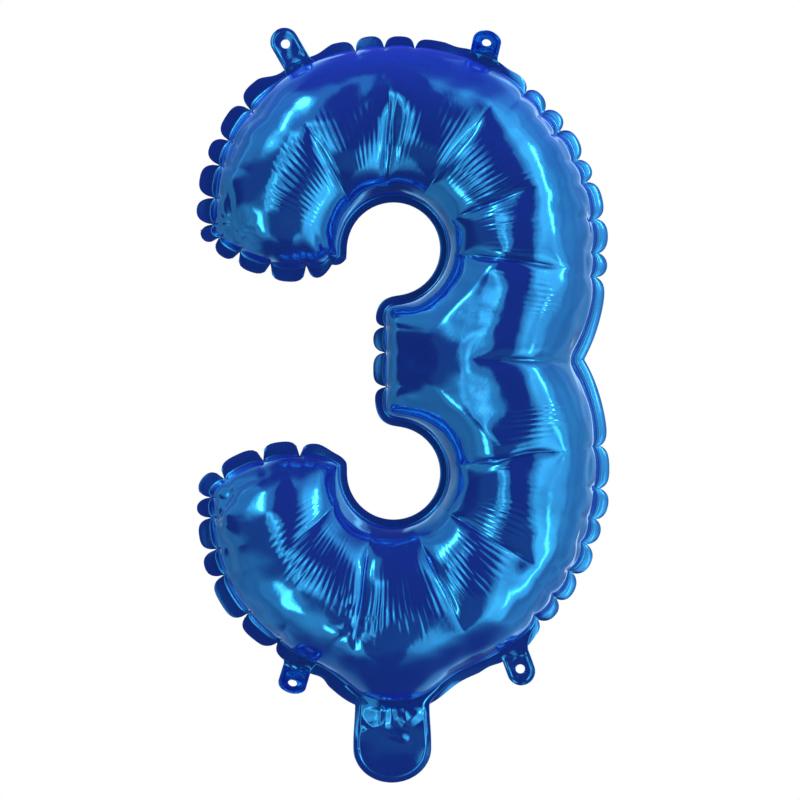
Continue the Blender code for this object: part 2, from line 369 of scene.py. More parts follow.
class Term:
    """A shader socket that takes part in Python expressions on numbers."""

    def __init__(self, bench: "Bench", socket: bpy.types.NodeSocket) -> None:
        """Wraps a socket of the bench's node tree."""
        self.bench, self.socket = bench, socket

    def math(self, operation: str, *others: Any) -> "Term":
        """A Math node of this term and the others."""
        inputs = {k: v for k, v in enumerate((self, *others))}
        return self.bench.node("ShaderNodeMath", {"operation": operation}, inputs)

    def __add__(self, other: Any) -> "Term":
        """self + other."""
        return self.math("ADD", other)

    __radd__ = __add__

    def __mul__(self, other: Any) -> "Term":
        """self * other."""
        return self.math("MULTIPLY", other)

    __rmul__ = __mul__

    def __sub__(self, other: Any) -> "Term":
        """self - other."""
        return self.math("SUBTRACT", other)

    def __rsub__(self, other: Any) -> "Term":
        """other - self."""
        return self.bench.node("ShaderNodeMath", {"operation": "SUBTRACT"}, {0: other, 1: self})

    def window(self, low: float, high: float, soft: float) -> "Term":
        """1 between low and high, with smooth flanks soft wide on either side of each."""
        return self.rise(low - soft, low + soft) * (1.0 - self.rise(high - soft, high + soft))

    def rise(self, start: float, stop: float, low: float = 0.0, high: float = 1.0) -> "Term":
        """A smooth change from low at start to high at stop."""
        inputs = {"Value": self, "From Min": start, "From Max": stop, "To Min": low, "To Max": high}
        return self.bench.node("ShaderNodeMapRange", {"interpolation_type": "SMOOTHSTEP"}, inputs)


class Bench:
    """Builds the nodes of one node tree."""

    @classmethod
    def of_material(cls, name: str) -> tuple[bpy.types.Material, "Bench"]:
        """A new material and the bench of its tree."""
        made = bpy.data.materials.new(name)
        made.use_nodes = True
        return made, cls(made.node_tree)

    def __init__(self, tree: bpy.types.NodeTree) -> None:
        """Takes an emptied node tree."""
        self.tree = tree
        tree.nodes.clear()

    def node(
        self, kind: str, settings: dict[str, Any], inputs: dict[Any, Any], output: Any = 0
    ) -> Term:
        """Adds one node.

        Args:
            kind: The node's type.
            settings: Properties, which are set first.
            inputs: Values or terms of its sockets, by name or place.
            output: Name or place of the socket that is wanted.

        Returns:
            The wanted output as a term.
        """
        made = self.tree.nodes.new(kind)
        for key, value in settings.items():
            setattr(made, key, value)
        for key, value in inputs.items():
            if isinstance(value, Term):
                self.tree.links.new(value.socket, made.inputs[key])
            else:
                made.inputs[key].default_value = value
        return Term(self, made.outputs[output] if made.outputs else made.inputs[0])

    def blend(self, share: Any, low: Any, high: Any) -> Term:
        """A colour between low and high; colours are rows of three numbers or terms."""
        sides = [side if isinstance(side, Term) else (*side, 1.0) for side in (low, high)]
        return self.node("ShaderNodeMix", {"data_type": "RGBA"}, {0: share, 6: sides[0], 7: sides[1]}, 2)

    def principled(self, **inputs: Any) -> Term:
        """A Principled shader; an input's spaces are written as underscores."""
        named = {key.replace("_", " "): value for key, value in inputs.items()}
        return self.node("ShaderNodeBsdfPrincipled", {}, named)

    def bump(self, height: Term, strength: float, distance: float) -> Term:
        """A normal tipped by the slope of a height."""
        inputs = {"Strength": strength, "Distance": distance, "Height": height}
        return self.node("ShaderNodeBump", {}, inputs)

    def close(self, kind: str, surface: Term) -> None:
        """Joins a shader to the tree's Material or World output."""
        self.node(f"ShaderNodeOutput{kind}", {}, {"Surface": surface})

    def noise(self, place: Term, scale: float, detail: float, distortion: float = 0.0) -> Term:
        """Fractal noise of about 0 to 1 at a place."""
        inputs = {"Vector": place, "Scale": scale, "Detail": detail, "Distortion": distortion}
        return self.node("ShaderNodeTexNoise", {}, inputs)


@dataclass(frozen=True)
class FoilFinish:
    """Mirror-bright dyed film: a tinted metal, part of whose light a deep blue lacquer scatters, both
    under a clear coat. The dye is a little uneven, with a faint grain of fine crinkles, and the
    heat-welded margin is duller and darker."""

    name: str
    dye: tuple[float, float, float] = (0.004, 0.410, 0.75)
    deep_dye: tuple[float, float, float] = (0.003, 0.355, 0.70)
    weld_dye: tuple[float, float, float] = (0.003, 0.290, 0.61)
    lacquer: tuple[float, float, float] = (0.016, 0.034, 0.54)
    lacquer_share: float = 0.4  # light that the lacquer scatters, not mirrors
    roughness: float = 0.08
    weld_roughness: float = 0.14
    crinkle: float = 0.10  # strength of the grain
    crinkle_size: float = 4.5 * MM
    coat_weight: float = 0.4
    coat_roughness: float = 0.04
    coat_ior: float = 1.6
    pattern: Pattern = Pattern.OBJECT

    def material(self) -> bpy.types.Material:
        """Builds the material.

        Returns:
            The film's material.
        """
        made, bench = Bench.of_material(self.name)
        place = bench.node("ShaderNodeTexCoord", {}, {}, self.pattern.value)
        weld = bench.node("ShaderNodeAttribute", {"attribute_name": "weld"}, {}, "Fac")
        cloud = bench.noise(place, 26.0, 3.0).rise(0.3, 0.7)
        speck = bench.noise(place, 420.0, 2.0).rise(0.45, 0.75)
        grain = bench.noise(place, 1.0 / self.crinkle_size, 2.5, 0.6)
        dyed = bench.blend(cloud, self.dye, self.deep_dye)
        dyed = bench.blend(weld, dyed, self.weld_dye)
        rough = self.roughness + 0.025 * cloud + 0.015 * speck
        rough = rough + weld * (self.weld_roughness - self.roughness)
        both = {
            "Roughness": rough,
            "Normal": bench.bump(grain, self.crinkle, 0.6 * MM),
            "Coat_Weight": self.coat_weight,
            "Coat_Roughness": self.coat_roughness,
            "Coat_IOR": self.coat_ior,
        }
        mirror = bench.principled(Base_Color=dyed, Metallic=1.0, **both)
        lacquer = bench.principled(Base_Color=(*self.lacquer, 1.0), Specular_IOR_Level=0.0, **both)
        film = bench.node("ShaderNodeMixShader", {}, {0: self.lacquer_share, 1: mirror, 2: lacquer})
        bench.close("Material", film)
        return made


@dataclass(frozen=True)
class ValveFinish:
    """Clear polythene with a milky bloom and fine streaks from the roll."""

    name: str = "valve_film"
    tint: tuple[float, float, float] = (0.80, 0.84, 0.88)
    bloom: tuple[float, float, float] = (0.62, 0.68, 0.76)

    def material(self) -> bpy.types.Material:
        """Builds the material.

        Returns:
            The polythene's material.
        """
        made, bench = Bench.of_material(self.name)
        place = bench.node("ShaderNodeTexCoord", {}, {}, "Object")
        turn = bench.node("ShaderNodeMapping", {}, {"Vector": place, "Scale": (1.0, 1.0, 0.08)})
        streak = bench.noise(turn, 900.0, 3.0).rise(0.35, 0.7)
        cloud = bench.noise(place, 120.0, 2.0).rise(0.3, 0.7)
        shader = bench.principled(
            Base_Color=bench.blend(streak, self.tint, self.bloom),
            Roughness=0.18 + 0.2 * cloud,
            Alpha=0.55 + 0.2 * streak,
            Normal=bench.bump(streak, 0.2, 0.2 * MM),
        )
        bench.close("Material", shader)
        return made


# ---------------------------------------------------------------- the digit's body


@dataclass(frozen=True)
class Crease:
    """A deep fold of a panel that runs from a bay out to the middle of the tube."""

    angle: float  # about the bay, in degrees
    reach: float  # share of the tube's width at which it dies
    depth: float = 2.7 * MM
    width: float = 8.0 * MM


@dataclass(frozen=True)
class Bowl:
    """One bowl of the digit. Angles go about its bay in degrees, from the arm's end over the outer
    side to the waist, as on the upper bowl; the lower bowl is turned upside down."""

    opening: str  # the record's name of its bay
    side: float  # 1 for the upper bowl, -1 for the lower one
    radius: float
    neck_reach: float
    gathers: tuple[float, ...]  # where the outer weld is pinched
    end_gathers: tuple[float, ...]  # the same on the arm's end, as shares from the bay outwards
    creases: tuple[Crease, ...]

    def bay(self) -> Array:
        """Centre of the bay, x and z, from the record's opening."""
        openings = frame["record"]["physics"]["openings"]
        low, high = next(o["box_m"] for o in openings if o["name"] == self.opening)
        return np.array([(low[0] + high[0]) / 2.0, (low[2] + high[2]) / 2.0])

    def angles(self, points: Array) -> Array:
        """Angle of each point about the bay in degrees, from -90 to 270."""
        offset = (points - self.bay()) * (1.0, self.side)
        return (np.degrees(np.arctan2(offset[..., 1], offset[..., 0])) + 90.0) % 360.0 - 90.0


@dataclass(frozen=True)
class DigitPlan:
    """The flat plan of the inflated body: matching points of its inner and outer edges, from the
    upper arm's end round both bowls to the lower arm's end."""

    bowls: tuple[Bowl, Bowl]
    bay_radius: float = 29.6 * MM
    waist_growth: float = 0.03
    shoulder_flattening: float = 0.015
    shoulder: tuple[float, float] = (45.0, 85.0)
    arm_narrowing: float = 0.115
    arm_narrows: tuple[float, float] = (130.0, 190.0)
    arm_inner_angle: float = 187.0
    arm_outer_angle: float = 173.5
    arm_end_bulge: float = 13.0 * MM
    arm_end_fade: float = 0.29
    nub_corner: float = 5.5 * MM
    neck_spread: float = 13.5
    radial_end_angle: float = -10.0
    radial_share: float = 0.80
    crowding: float = 0.02
    softness: float = 3.0 * MM
    columns: int = 1200
    rows: int = 60

    def to_middle(self) -> float:
        """Height from a bay's centre to the digit's middle."""
        return float(self.bowls[0].bay()[1] - self.bowls[1].bay()[1]) / 2.0

    def outer_edge(self, bowl: Bowl) -> tuple[Array, float]:
        """The outer body edge of a bowl about its bay: a circle that widens towards the waist, is
        flattened above the bay, narrows towards the arm's end and runs down into the neck.

        Args:
            bowl: The bowl.

        Returns:
            The path, and the share of it before the radial cross lines end.
        """
        ratio = self.to_middle() / (bowl.radius * (1.0 + self.waist_growth))
        waist_angle = -math.degrees(math.asin(ratio))
        angle = np.linspace(self.arm_outer_angle, waist_angle, 1600)
        shape = 1.0 + self.waist_growth * smooth_step(angle / waist_angle)
        shape -= self.shoulder_flattening * smooth_step(angle, *self.shoulder)
        shape -= self.arm_narrowing * smooth_step(angle, *self.arm_narrows)
        neck = bowl.neck_reach * np.exp(-(np.abs((angle - 90.0) / self.neck_spread) ** 3))
        path = arc((0.0, 0.0), bowl.radius * shape + neck, self.arm_outer_angle, waist_angle, 1600)
        run = run_lengths(path)
        return path, float(np.interp(-self.radial_end_angle, -angle, run) / run[-1])

    def inner_edge(self) -> tuple[Array, float]:
        """The inner body edge of a bowl about its bay: round the bay, round the nub's corner and
        along the nub to the digit's middle.

        Returns:
            The path, and the share of it before the radial cross lines end.
        """
        corner_place = (0.0, -self.bay_radius - self.nub_corner)
        bay = arc((0.0, 0.0), self.bay_radius, self.arm_inner_angle, -90.0, 900)
        corner = arc(corner_place, self.nub_corner, 90.0, 180.0, 60)
        path = np.concatenate([bay[:-1], corner, [[-self.nub_corner, -self.to_middle()]]])
        radial = self.bay_radius * math.radians(self.arm_inner_angle - self.radial_end_angle)
        return path, float(radial / run_lengths(path)[-1])

    def column_shares(self) -> Array:
        """Shares of a half's run at its columns: x - c ln(1 + x/c), scaled to end at 1. Spacing
        falls to nothing at the arm's end and is even past it."""
        place = np.linspace(0.0, 1.0, self.columns // 2 + 1)
        eased = place - self.crowding * np.log1p(place / self.crowding)
        return eased / eased[-1]

    def edges(self) -> tuple[Array, Array]:
        """The inner and the outer body edge as matching points."""
        column = self.column_shares()
        inner_path, inner_share = self.inner_edge()
        halves = []
        for bowl in self.bowls:
            outer_path, outer_share = self.outer_edge(bowl)
            half = []
            for path, share in ((inner_path, inner_share), (outer_path, outer_share)):
                shares = np.interp(column, (0.0, self.radial_share, 1.0), (0.0, share, 1.0))
                half.append((path * (1.0, bowl.side) + bowl.bay(), shares))
            halves.append(half)
        edges = []
        for (upper, upper_shares), (lower, lower_shares) in zip(*halves):
            upper_length, lower_length = run_lengths(upper)[-1], run_lengths(lower)[-1]
            total = upper_length + lower_length
            later = total - lower_shares[-2::-1] * lower_length
            shares = np.concatenate([upper_shares * upper_length, later]) / total
            joined = np.concatenate([upper, lower[-2::-1]])
            edges.append(along(softened(joined, self.softness), shares))
        return edges[0], edges[1]

    def across(self) -> Array:
        """Shares of the tube's width at the rows, from the bay outwards, closer at the edges."""
        return 0.5 - 0.5 * np.cos(np.linspace(0.0, math.pi, self.rows + 1))

    def grid(self) -> Array:
        """Flat points of the inflated body: columns along the digit, rows from the bays outwards.
        The arms' ends are bowed outwards by bulge * sin(pi t)^0.6."""
        inner, outer = self.edges()
        across = self.across()
        grid = inner[:, None] + (outer - inner)[:, None] * across[None, :, None]
        share = self.column_shares() ** (1.0 / 1.35)
        fade = np.zeros(self.columns + 1)
        fade[: len(share)] = np.clip(1.0 - share / self.arm_end_fade, 0.0, 1.0) ** 2
        bulge = self.arm_end_bulge * np.sin(math.pi * across) ** 0.6
        for end, step in ((0, 1), (-1, -1)):
            chord = outer[end] - inner[end]
            beyond = np.array([chord[1], -chord[0]]) * step / np.hypot(*chord)
            grid = grid - (fade[::step, None] * bulge)[..., None] * beyond
        return grid


@dataclass(frozen=True)
class Gather:
    """A pinch of the weld, from which a crease runs into the body."""

    place: Array
    tangent: Array
    inward: Array
    depth: float
    width: float


@dataclass(frozen=True)
class Star:
    """Wrinkles that spread from one point of a panel."""

    place: tuple[float, float]
    rays: int
    radius: float
    height: float
    turn: float = 0.0


@dataclass(frozen=True)
class Ridge:
    """A soft straight rise of a panel between two points."""

    start: tuple[float, float]
    end: tuple[float, float]
    width: float
    height: float


class DigitBody:
    """The blown-up body that both panels share: its plan, its height and its weld line."""

    nub_gathers = (18.5 * MM, 4.9 * MM, -14.1 * MM)  # above the digit's middle
    neck_spread = 16.0 * MM
    neck_opening = 0.75 * MM
    sway_height = 0.34 * MM
    sway_length = 46 * MM
    gather_depth = (1.9 * MM, 1.3 * MM)  # on the left, and how much more on the right
    gather_width = (1.5 * MM, 1.4 * MM)
    gather_reach = 17 * MM  # into the panel
    gather_side_reach = 13 * MM
    relief_room = 0.45 * MM  # kept free inside the CAD box for what stands proud

    def __init__(self, plan: DigitPlan) -> None:
        """Works out the plan, the height and the weld line.

        Args:
            plan: The body's flat plan.
        """
        self.plan = plan
        self.flat = plan.grid()
        self.half_depth = float(-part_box("front_foil_panel")[0].y) - self.relief_room
        coarse = self.flat[::4, ::2]
        start = stretched(Pillow(coarse).solve(700), self.flat.shape[:2])
        u = np.maximum(Pillow(self.flat, start).solve(260), 0.0)
        self.pillow = np.sqrt(u / u.max())
        self.from_edge = 1.06 * self.half_depth * np.arcsin(np.clip(self.pillow, 0.0, 1.0))
        index = np.arange(self.pillow.size).reshape(self.pillow.shape)
        self.index = index
        self.loop = np.concatenate([index[0, :-1], index[:-1, -1], index[-1, :0:-1], index[:0:-1, 0]])
        self.rim = self.flat.reshape(-1, 2)[self.loop]
        closed = np.concatenate([self.rim, self.rim[:1]])
        run = run_lengths(closed)
        self.run, self.length = run[:-1], float(run[-1])
        step = np.roll(self.rim, -1, axis=0) - np.roll(self.rim, 1, axis=0)
        step /= np.maximum(np.linalg.norm(step, axis=1), 1e-9)[:, None]
        outward = np.stack([step[:, 1], -step[:, 0]], axis=1)
        turning = np.sum(closed[:-1, 0] * closed[1:, 1] - closed[1:, 0] * closed[:-1, 1])
        outward = ring_average(outward * np.sign(turning), self.run, self.length, 2.2 * MM)
        self.outward = outward / np.linalg.norm(outward, axis=1)[:, None]
        self.tail_fold = np.array(joint_named("tail")["pos_m"])[[0, 2]]
        self.bay_share = self.near_bay(self.rim)

    def near_bay(self, points: Array) -> Array:
        """1 round the bays, falling to 0 away from them."""
        away = [np.linalg.norm(points - bowl.bay(), axis=-1) for bowl in self.plan.bowls]
        radius = self.plan.bay_radius
        return 1.0 - smooth_step(np.minimum(*away), 1.12 * radius, 1.5 * radius)

    def neck_gap(self, points: Array) -> Array:
        """How far a panel stands off the middle plane at the open neck."""
        off = (points - self.tail_fold) / self.neck_spread
        return self.neck_opening * np.exp(-(off[..., 0] ** 4) - off[..., 1] ** 2)

    def sway(self, points: Array) -> Array:
        """Out-of-plane wander of the weld line, the same on both panels."""
        calm = 1.0 - 0.8 * self.near_bay(points)
        for root in tab_roots():
            calm = calm * (1.0 - np.exp(-((np.linalg.norm(points - root, axis=-1) / 0.014) ** 4)))
        return self.sway_height * smooth_noise(points, self.sway_length, 41) * calm

    def gather_indices(self) -> Array:
        """Places of the gathers in the weld loop, in order."""
        plan, found = self.plan, []
        rows, columns = plan.rows, plan.columns
        across = plan.across()
        outer = self.flat[:, -1]
        for bowl in plan.bowls:
            near = (outer[:, 1] > self.middle()) == (bowl.side > 0)
            angles = np.where(near, bowl.angles(outer), np.inf)
            picked = [int(np.argmin(np.abs(angles - angle))) for angle in bowl.gathers]
            found += [rows + column for column in picked]
            ends = [int(np.argmin(np.abs(across - share))) for share in bowl.end_gathers]
            found += ends if bowl.side > 0 else [2 * rows + columns - row for row in ends]
        inner = self.flat[:, 0]
        nub = slice(columns // 4, 3 * columns // 4)
        for rise in self.nub_gathers:
            away = np.linalg.norm(inner[nub] - (inner[columns // 2, 0], self.middle() + rise), axis=1)
            column = columns // 4 + int(np.argmin(away))
            found.append(2 * rows + 2 * columns - column)
        return np.unique(np.array(found) % len(self.loop))

    def middle(self) -> float:
        """Height of the digit's middle."""
        return float(self.plan.bowls[0].bay()[1] + self.plan.bowls[1].bay()[1]) / 2.0

    def gathers(self, seed: int) -> list[Gather]:
        """The weld's pinches as places with their directions.

        Args:
            seed: Seed of their uneven depths.

        Returns:
            One gather for each place.
        """
        draw = np.random.default_rng(seed)
        made = []
        for index in self.gather_indices():
            outward = self.outward[index]
            right = float(smooth_step(outward[0], 0.1, 0.8))
            depth = (self.gather_depth[0] + self.gather_depth[1] * right) * draw.uniform(0.75, 1.25)
            width = (self.gather_width[0] + self.gather_width[1] * right) * draw.uniform(0.8, 1.3)
            tangent = np.array([-outward[1], outward[0]])
            lean = draw.normal(0.0, 0.10)
            inward = -outward * math.cos(lean) + tangent * math.sin(lean)
            sideways = np.array([-inward[1], inward[0]])
            made.append(Gather(self.rim[index], sideways, inward, depth, width))
        return made

    def gather_dip(self, points: Array, from_edge: Array, gathers: Sequence[Gather]) -> Array:
        """How far the gathers pull the film in: for each, depth * exp(-q/L) * exp(-|d|/w), where q
        is the distance from the edge over the film and d the distance to the side.

        Args:
            points: Flat places.
            from_edge: Distance of each from the weld over the film.
            gathers: The pinches.

        Returns:
            The dip at each place.
        """
        dip = np.zeros(points.shape[:-1])
        for gather in gathers:
            offset = points - gather.place
            aside, into = offset @ gather.tangent, offset @ gather.inward
            width = gather.width + 0.10 * from_edge
            near = np.exp(-((into / self.gather_reach) ** 2) - (aside / self.gather_side_reach) ** 4)
            fold = np.exp(-soft_abs(aside, 0.35 * MM) / width)
            dip += gather.depth * np.exp(-from_edge / (20 * MM)) * fold * near
        return dip


def joint_named(child: str) -> dict[str, Any]:
    """The frame's joint that carries a body."""
    return next(joint for joint in frame["joints"] if joint["child"] == child)


def tab_roots() -> list[Array]:
    """Flat places of the hang tabs' fold lines."""
    tabs = [joint for joint in frame["joints"] if joint["child"].endswith("_tab")]
    return [np.array(joint["pos_m"])[[0, 2]] for joint in tabs]


@dataclass
class FilmPanel:
    """One film panel: the blown-up body with its creases and ripples, and the weld margin."""

    side: Side
    body: DigitBody
    seed: int
    crease_shift: float = 0.0  # degrees by which this panel's creases are moved round the bays
    hollow_reach: float = 15 * MM
    hollow_size: tuple[float, float] = (12 * MM, 21 * MM)
    hollow_depth: float = 3.2 * MM
    ripple_columns: int = 7
    ripple_height: float = 0.25 * MM
    ripple_range: tuple[float, float] = (0.5, 1.2)  # least and most share of that height
    ripples_kept: float = 0.93
    ripple_start: tuple[float, float] = (0.215, 0.03)  # share of the tube's width, and its spread
    ripple_end: tuple[float, float] = (0.575, 0.035)
    cut_depth: float = 0.32  # of a crease's depth, for the sharp cut in its middle
    cut_width: float = 1.1 * MM
    slit_depth: float = 3.2 * MM
    slit_width: float = 3.8 * MM
    slow_waves: tuple[float, float] = (0.42 * MM, 46 * MM)  # height and length
    quick_waves: tuple[float, float] = (0.07 * MM, 14 * MM)
    valley_place: float = 17 * MM  # from the weld, over the film
    seat_place: float = 6 * MM
    margin_rows: int = 7
    outer_margin: float = 5.4 * MM
    left_margin_gain: float = 2.2 * MM
    end_margin: float = 6.9 * MM
    nub_margin: float = 5.2 * MM
    bay_margin: float = 4.2 * MM
    notch_margin: float = 0.7 * MM
    web_full: float = 7 * MM  # on either side of a tab's middle
    web_end: float = 22 * MM
    right_curl: float = 0.40  # radians to the back
    left_curl: float = 0.11  # radians to the front
    stars: tuple[Star, ...] = ()
    ridges: tuple[Ridge, ...] = ()
    flat_size: tuple[float, float] = (0.268, 0.452)
    rng: np.random.Generator = field(init=False)

    def __post_init__(self) -> None:
        """Seeds this panel's uneven values."""
        self.rng = np.random.default_rng(self.seed)

    @property
    def name(self) -> str:
        """The piece's name, which is its CAD node's name with film_ before it."""
        return f"film_{self.side.name.lower()}_panel"

    @property
    def node(self) -> str:
        """The CAD node that the panel stands for."""
        return f"{self.side.name.lower()}_foil_panel"

    def row_runs(self) -> Array:
        """Arc length along the digit at every point, measured on its own row."""
        return run_lengths(self.body.flat)

    def crease_dips(self) -> Array:
        """Depth of the radial creases: depth * e(t) * exp(-|d|/w), where t is the share of the
        tube's width, e rises from the bay and dies at the crease's reach, d is the distance along
        the row and w grows outwards."""
        body, runs = self.body, self.row_runs()
        plan = body.plan
        share = plan.across()[None, :]
        columns = np.arange(plan.columns + 1.0)
        half = plan.columns // 2
        middle_row = body.flat[:, plan.rows // 2]
        dip = np.zeros(runs.shape)
        for bowl in plan.bowls:
            part = slice(0, half + 1) if bowl.side > 0 else slice(plan.columns, half - 1, -1)
            angles, places = bowl.angles(middle_row[part]), columns[part]
            for crease in bowl.creases:
                angle = crease.angle + self.crease_shift * self.rng.uniform(0.5, 1.5)
                column = float(np.interp(angle, angles[::-1], places[::-1]))
                low = int(column)
                centre = runs[low] + (runs[min(low + 1, plan.columns)] - runs[low]) * (column - low)
                wander = 0.5 * MM * smooth_noise(share[0][:, None], 0.5, self.seed + low)
                centre = centre + wander * share[0]
                away = soft_abs(runs - centre[None, :], 0.28 * MM)
                reach = smooth_step(share, 0.015, 0.22)
                reach = reach * (1.0 - smooth_step(share, crease.reach - 0.22, crease.reach + 0.03))
                width = crease.width * (0.45 + 1.1 * share)
                dip += crease.depth * reach * np.exp(-away / width)
                dip += self.cut_depth * crease.depth * reach * np.exp(-away / self.cut_width)
        return dip

    def waist_dip(self) -> Array:
        """Depth of the slit that runs in from the waist, between the two bowls."""
        plan, runs = self.body.plan, self.row_runs()
        share = plan.across()[None, :]
        half = plan.columns // 2
        away = soft_abs(runs - runs[half][None, :] - 1.2 * MM * (share - 0.7), 0.25 * MM)
        reach = smooth_step(share, 0.40, 0.66) * (1.0 - 0.75 * smooth_step(share, 0.93, 1.0))
        return self.slit_depth * reach * np.exp(-away / self.slit_width)

    def ripples(self) -> Array:
        """Fine pleats along the columns: each is a rounded |sin|, one period of a few columns wide,
        with its own height and its own ragged end."""
        plan = self.body.plan
        share = plan.across()[None, :]
        count = plan.columns // self.ripple_columns + 2
        column = np.arange(plan.columns + 1.0)[:, None]
        flat = self.body.flat
        wander = smooth_noise(flat, 34 * MM, self.seed + 3)
        phase = (column + wander * smooth_step(share, 0.1, 0.5)) / self.ripple_columns
        which = np.clip(np.floor(phase).astype(int), 0, count - 1)
        pleat = np.sqrt(np.sin(math.pi * phase) ** 2 + 0.02) - 0.62
        height = self.rng.uniform(*self.ripple_range, count) * (self.rng.random(count) < self.ripples_kept)
        slow = 0.5 + 0.5 * np.clip(smooth_noise(flat, 55 * MM, self.seed + 4), -1.0, 1.0)
        middle = flat[:, plan.rows // 2]
        shift = np.zeros(plan.columns + 1)
        calm = np.zeros(plan.columns + 1)
        for bowl in plan.bowls:
            angle = bowl.angles(middle)
            here = (middle[:, 1] - self.body.middle()) * bowl.side > 0
            shift += here * 0.20 * (1.0 - smooth_step(angle, -28.0, -6.0))
            calm += here * smooth_step(angle, -36.0, -22.0) * (1.0 - smooth_step(angle, 150.0, 167.0))
        (first, first_spread), (last, last_spread) = self.ripple_start, self.ripple_end
        end = last + last_spread * self.rng.normal(size=count)[which] + shift[:, None]
        start = first + first_spread * self.rng.normal(size=count)[which] + 1.4 * shift[:, None]
        reach = smooth_step(share - start, -0.06, 0.12) * (1.0 - smooth_step(share - end, -0.05, 0.035))
        strength = self.ripple_height * (0.35 + 0.9 * slow) * calm[:, None]
        return pleat * height[which] * reach * strength

    def star_folds(self) -> Array:
        """Height of the wrinkles round each star: h * (|sin(n a / 2)| - 0.6) * g(r), where g rises
        from the centre and dies at the star's radius."""
        total = np.zeros(self.body.pillow.shape)
        for star in self.stars:
            offset = self.body.flat - np.array(star.place)
            away = np.linalg.norm(offset, axis=-1)
            angle = np.arctan2(offset[..., 1], offset[..., 0]) + star.turn
            uneven = 0.8 * np.sin(2.0 * angle + 1.0) + 0.5 * np.sin(3.0 * angle)
            fold = np.sqrt(np.sin(0.5 * star.rays * angle + uneven) ** 2 + 0.02) - 0.62
            near = away / star.radius
            total += star.height * fold * near * np.exp(1.0 - near - 0.6 * near**3)
            total -= 1.1 * star.height * np.exp(-((near / 0.35) ** 2))
        return total

    def ridge_rise(self) -> Array:
        """Height of the soft ridges: h * exp(-|d|/w), where d is the distance to the line, with a
        rounded crest."""
        total = np.zeros(self.body.pillow.shape)
        for ridge in self.ridges:
            start, end = np.array(ridge.start), np.array(ridge.end)
            line = end - start
            share = np.clip((self.body.flat - start) @ line / (line @ line), -0.2, 1.2)
            nearest = start + share[..., None] * line
            away = np.linalg.norm(self.body.flat - nearest, axis=-1)
            fade = smooth_step(share, -0.2, 0.2) * (1.0 - smooth_step(share, 0.75, 1.2))
            total += ridge.height * fade * np.exp(-soft_abs(away, 1.2 * MM) / ridge.width)
        return total

    def nub_hollow(self) -> Array:
        """Depth of the hollow beside the nub: h * exp(-(x/w)^2 - (z/t)^2), measured from its middle."""
        middle = self.body.flat[self.body.plan.columns // 2, 0] + (self.hollow_reach, 0.0)
        off = (self.body.flat - middle) / self.hollow_size
        return self.hollow_depth * np.exp(-np.sum(off**2, axis=-1))

    def seam_valley(self) -> Array:
        """Depth of the shallow valley that runs beside the outer weld, where the film that the
        gathers hold flat meets the film that is blown round, and of the seat between the two."""
        body = self.body
        left = smooth_step(-body.flat[..., 0], 50 * MM, 72 * MM)
        right = smooth_step(body.flat[..., 0], 60 * MM, 90 * MM)
        uneven = 0.75 + 0.35 * smooth_noise(body.flat, 26 * MM, self.seed + 8)
        place = self.valley_place + 2.0 * MM * smooth_noise(body.flat, 40 * MM, self.seed + 9)
        valley = np.exp(-soft_abs(body.from_edge - place, 0.8 * MM) / (3.6 * MM))
        seat = body.from_edge / self.seat_place * np.exp(1.0 - body.from_edge / self.seat_place)
        return (1.5 * left + 0.8 * right) * MM * uneven * valley + (1.2 * left + 1.7 * right) * MM * seat

    def relief(self) -> Array:
        """Everything by which the film stands off its smooth blown-up shape, along its normal."""
        body = self.body
        inside = smooth_step(body.from_edge, 0.5 * MM, 14 * MM)
        space = np.concatenate([body.flat, (body.pillow * body.half_depth)[..., None]], axis=-1)
        (slow_height, slow_length), (quick_height, quick_length) = self.slow_waves, self.quick_waves
        slow = slow_height * smooth_noise(space, slow_length, self.seed + 1)
        quick = quick_height * smooth_noise(space, quick_length, self.seed + 2)
        folds = self.ripples() - self.crease_dips() - self.waist_dip() - self.nub_hollow()
        inner = inside * (folds + slow + quick + self.star_folds() + self.ridge_rise())
        return inner - self.seam_valley() - body.gather_dip(body.flat, body.from_edge, body.gathers(7))

    def body_points(self) -> Array:
        """The body's points: its plan, raised to its height, with the relief added."""
        body, front = self.body, self.side.value
        height = front * body.pillow * body.half_depth
        smooth = np.stack([body.flat[..., 0], height, body.flat[..., 1]], axis=-1)
        relief = self.relief()
        points = smooth + surface_normals(smooth, front) * relief[..., None]
        held = np.exp(-body.from_edge / (12 * MM))
        edge = body.from_edge <= 0.0
        edge[[0, -1]] = edge[:, [0, -1]] = True
        points[..., 1] = np.where(edge, 0.0, points[..., 1])
        points[..., 1] += front * body.neck_gap(body.flat) + body.sway(body.flat) * held
        return points

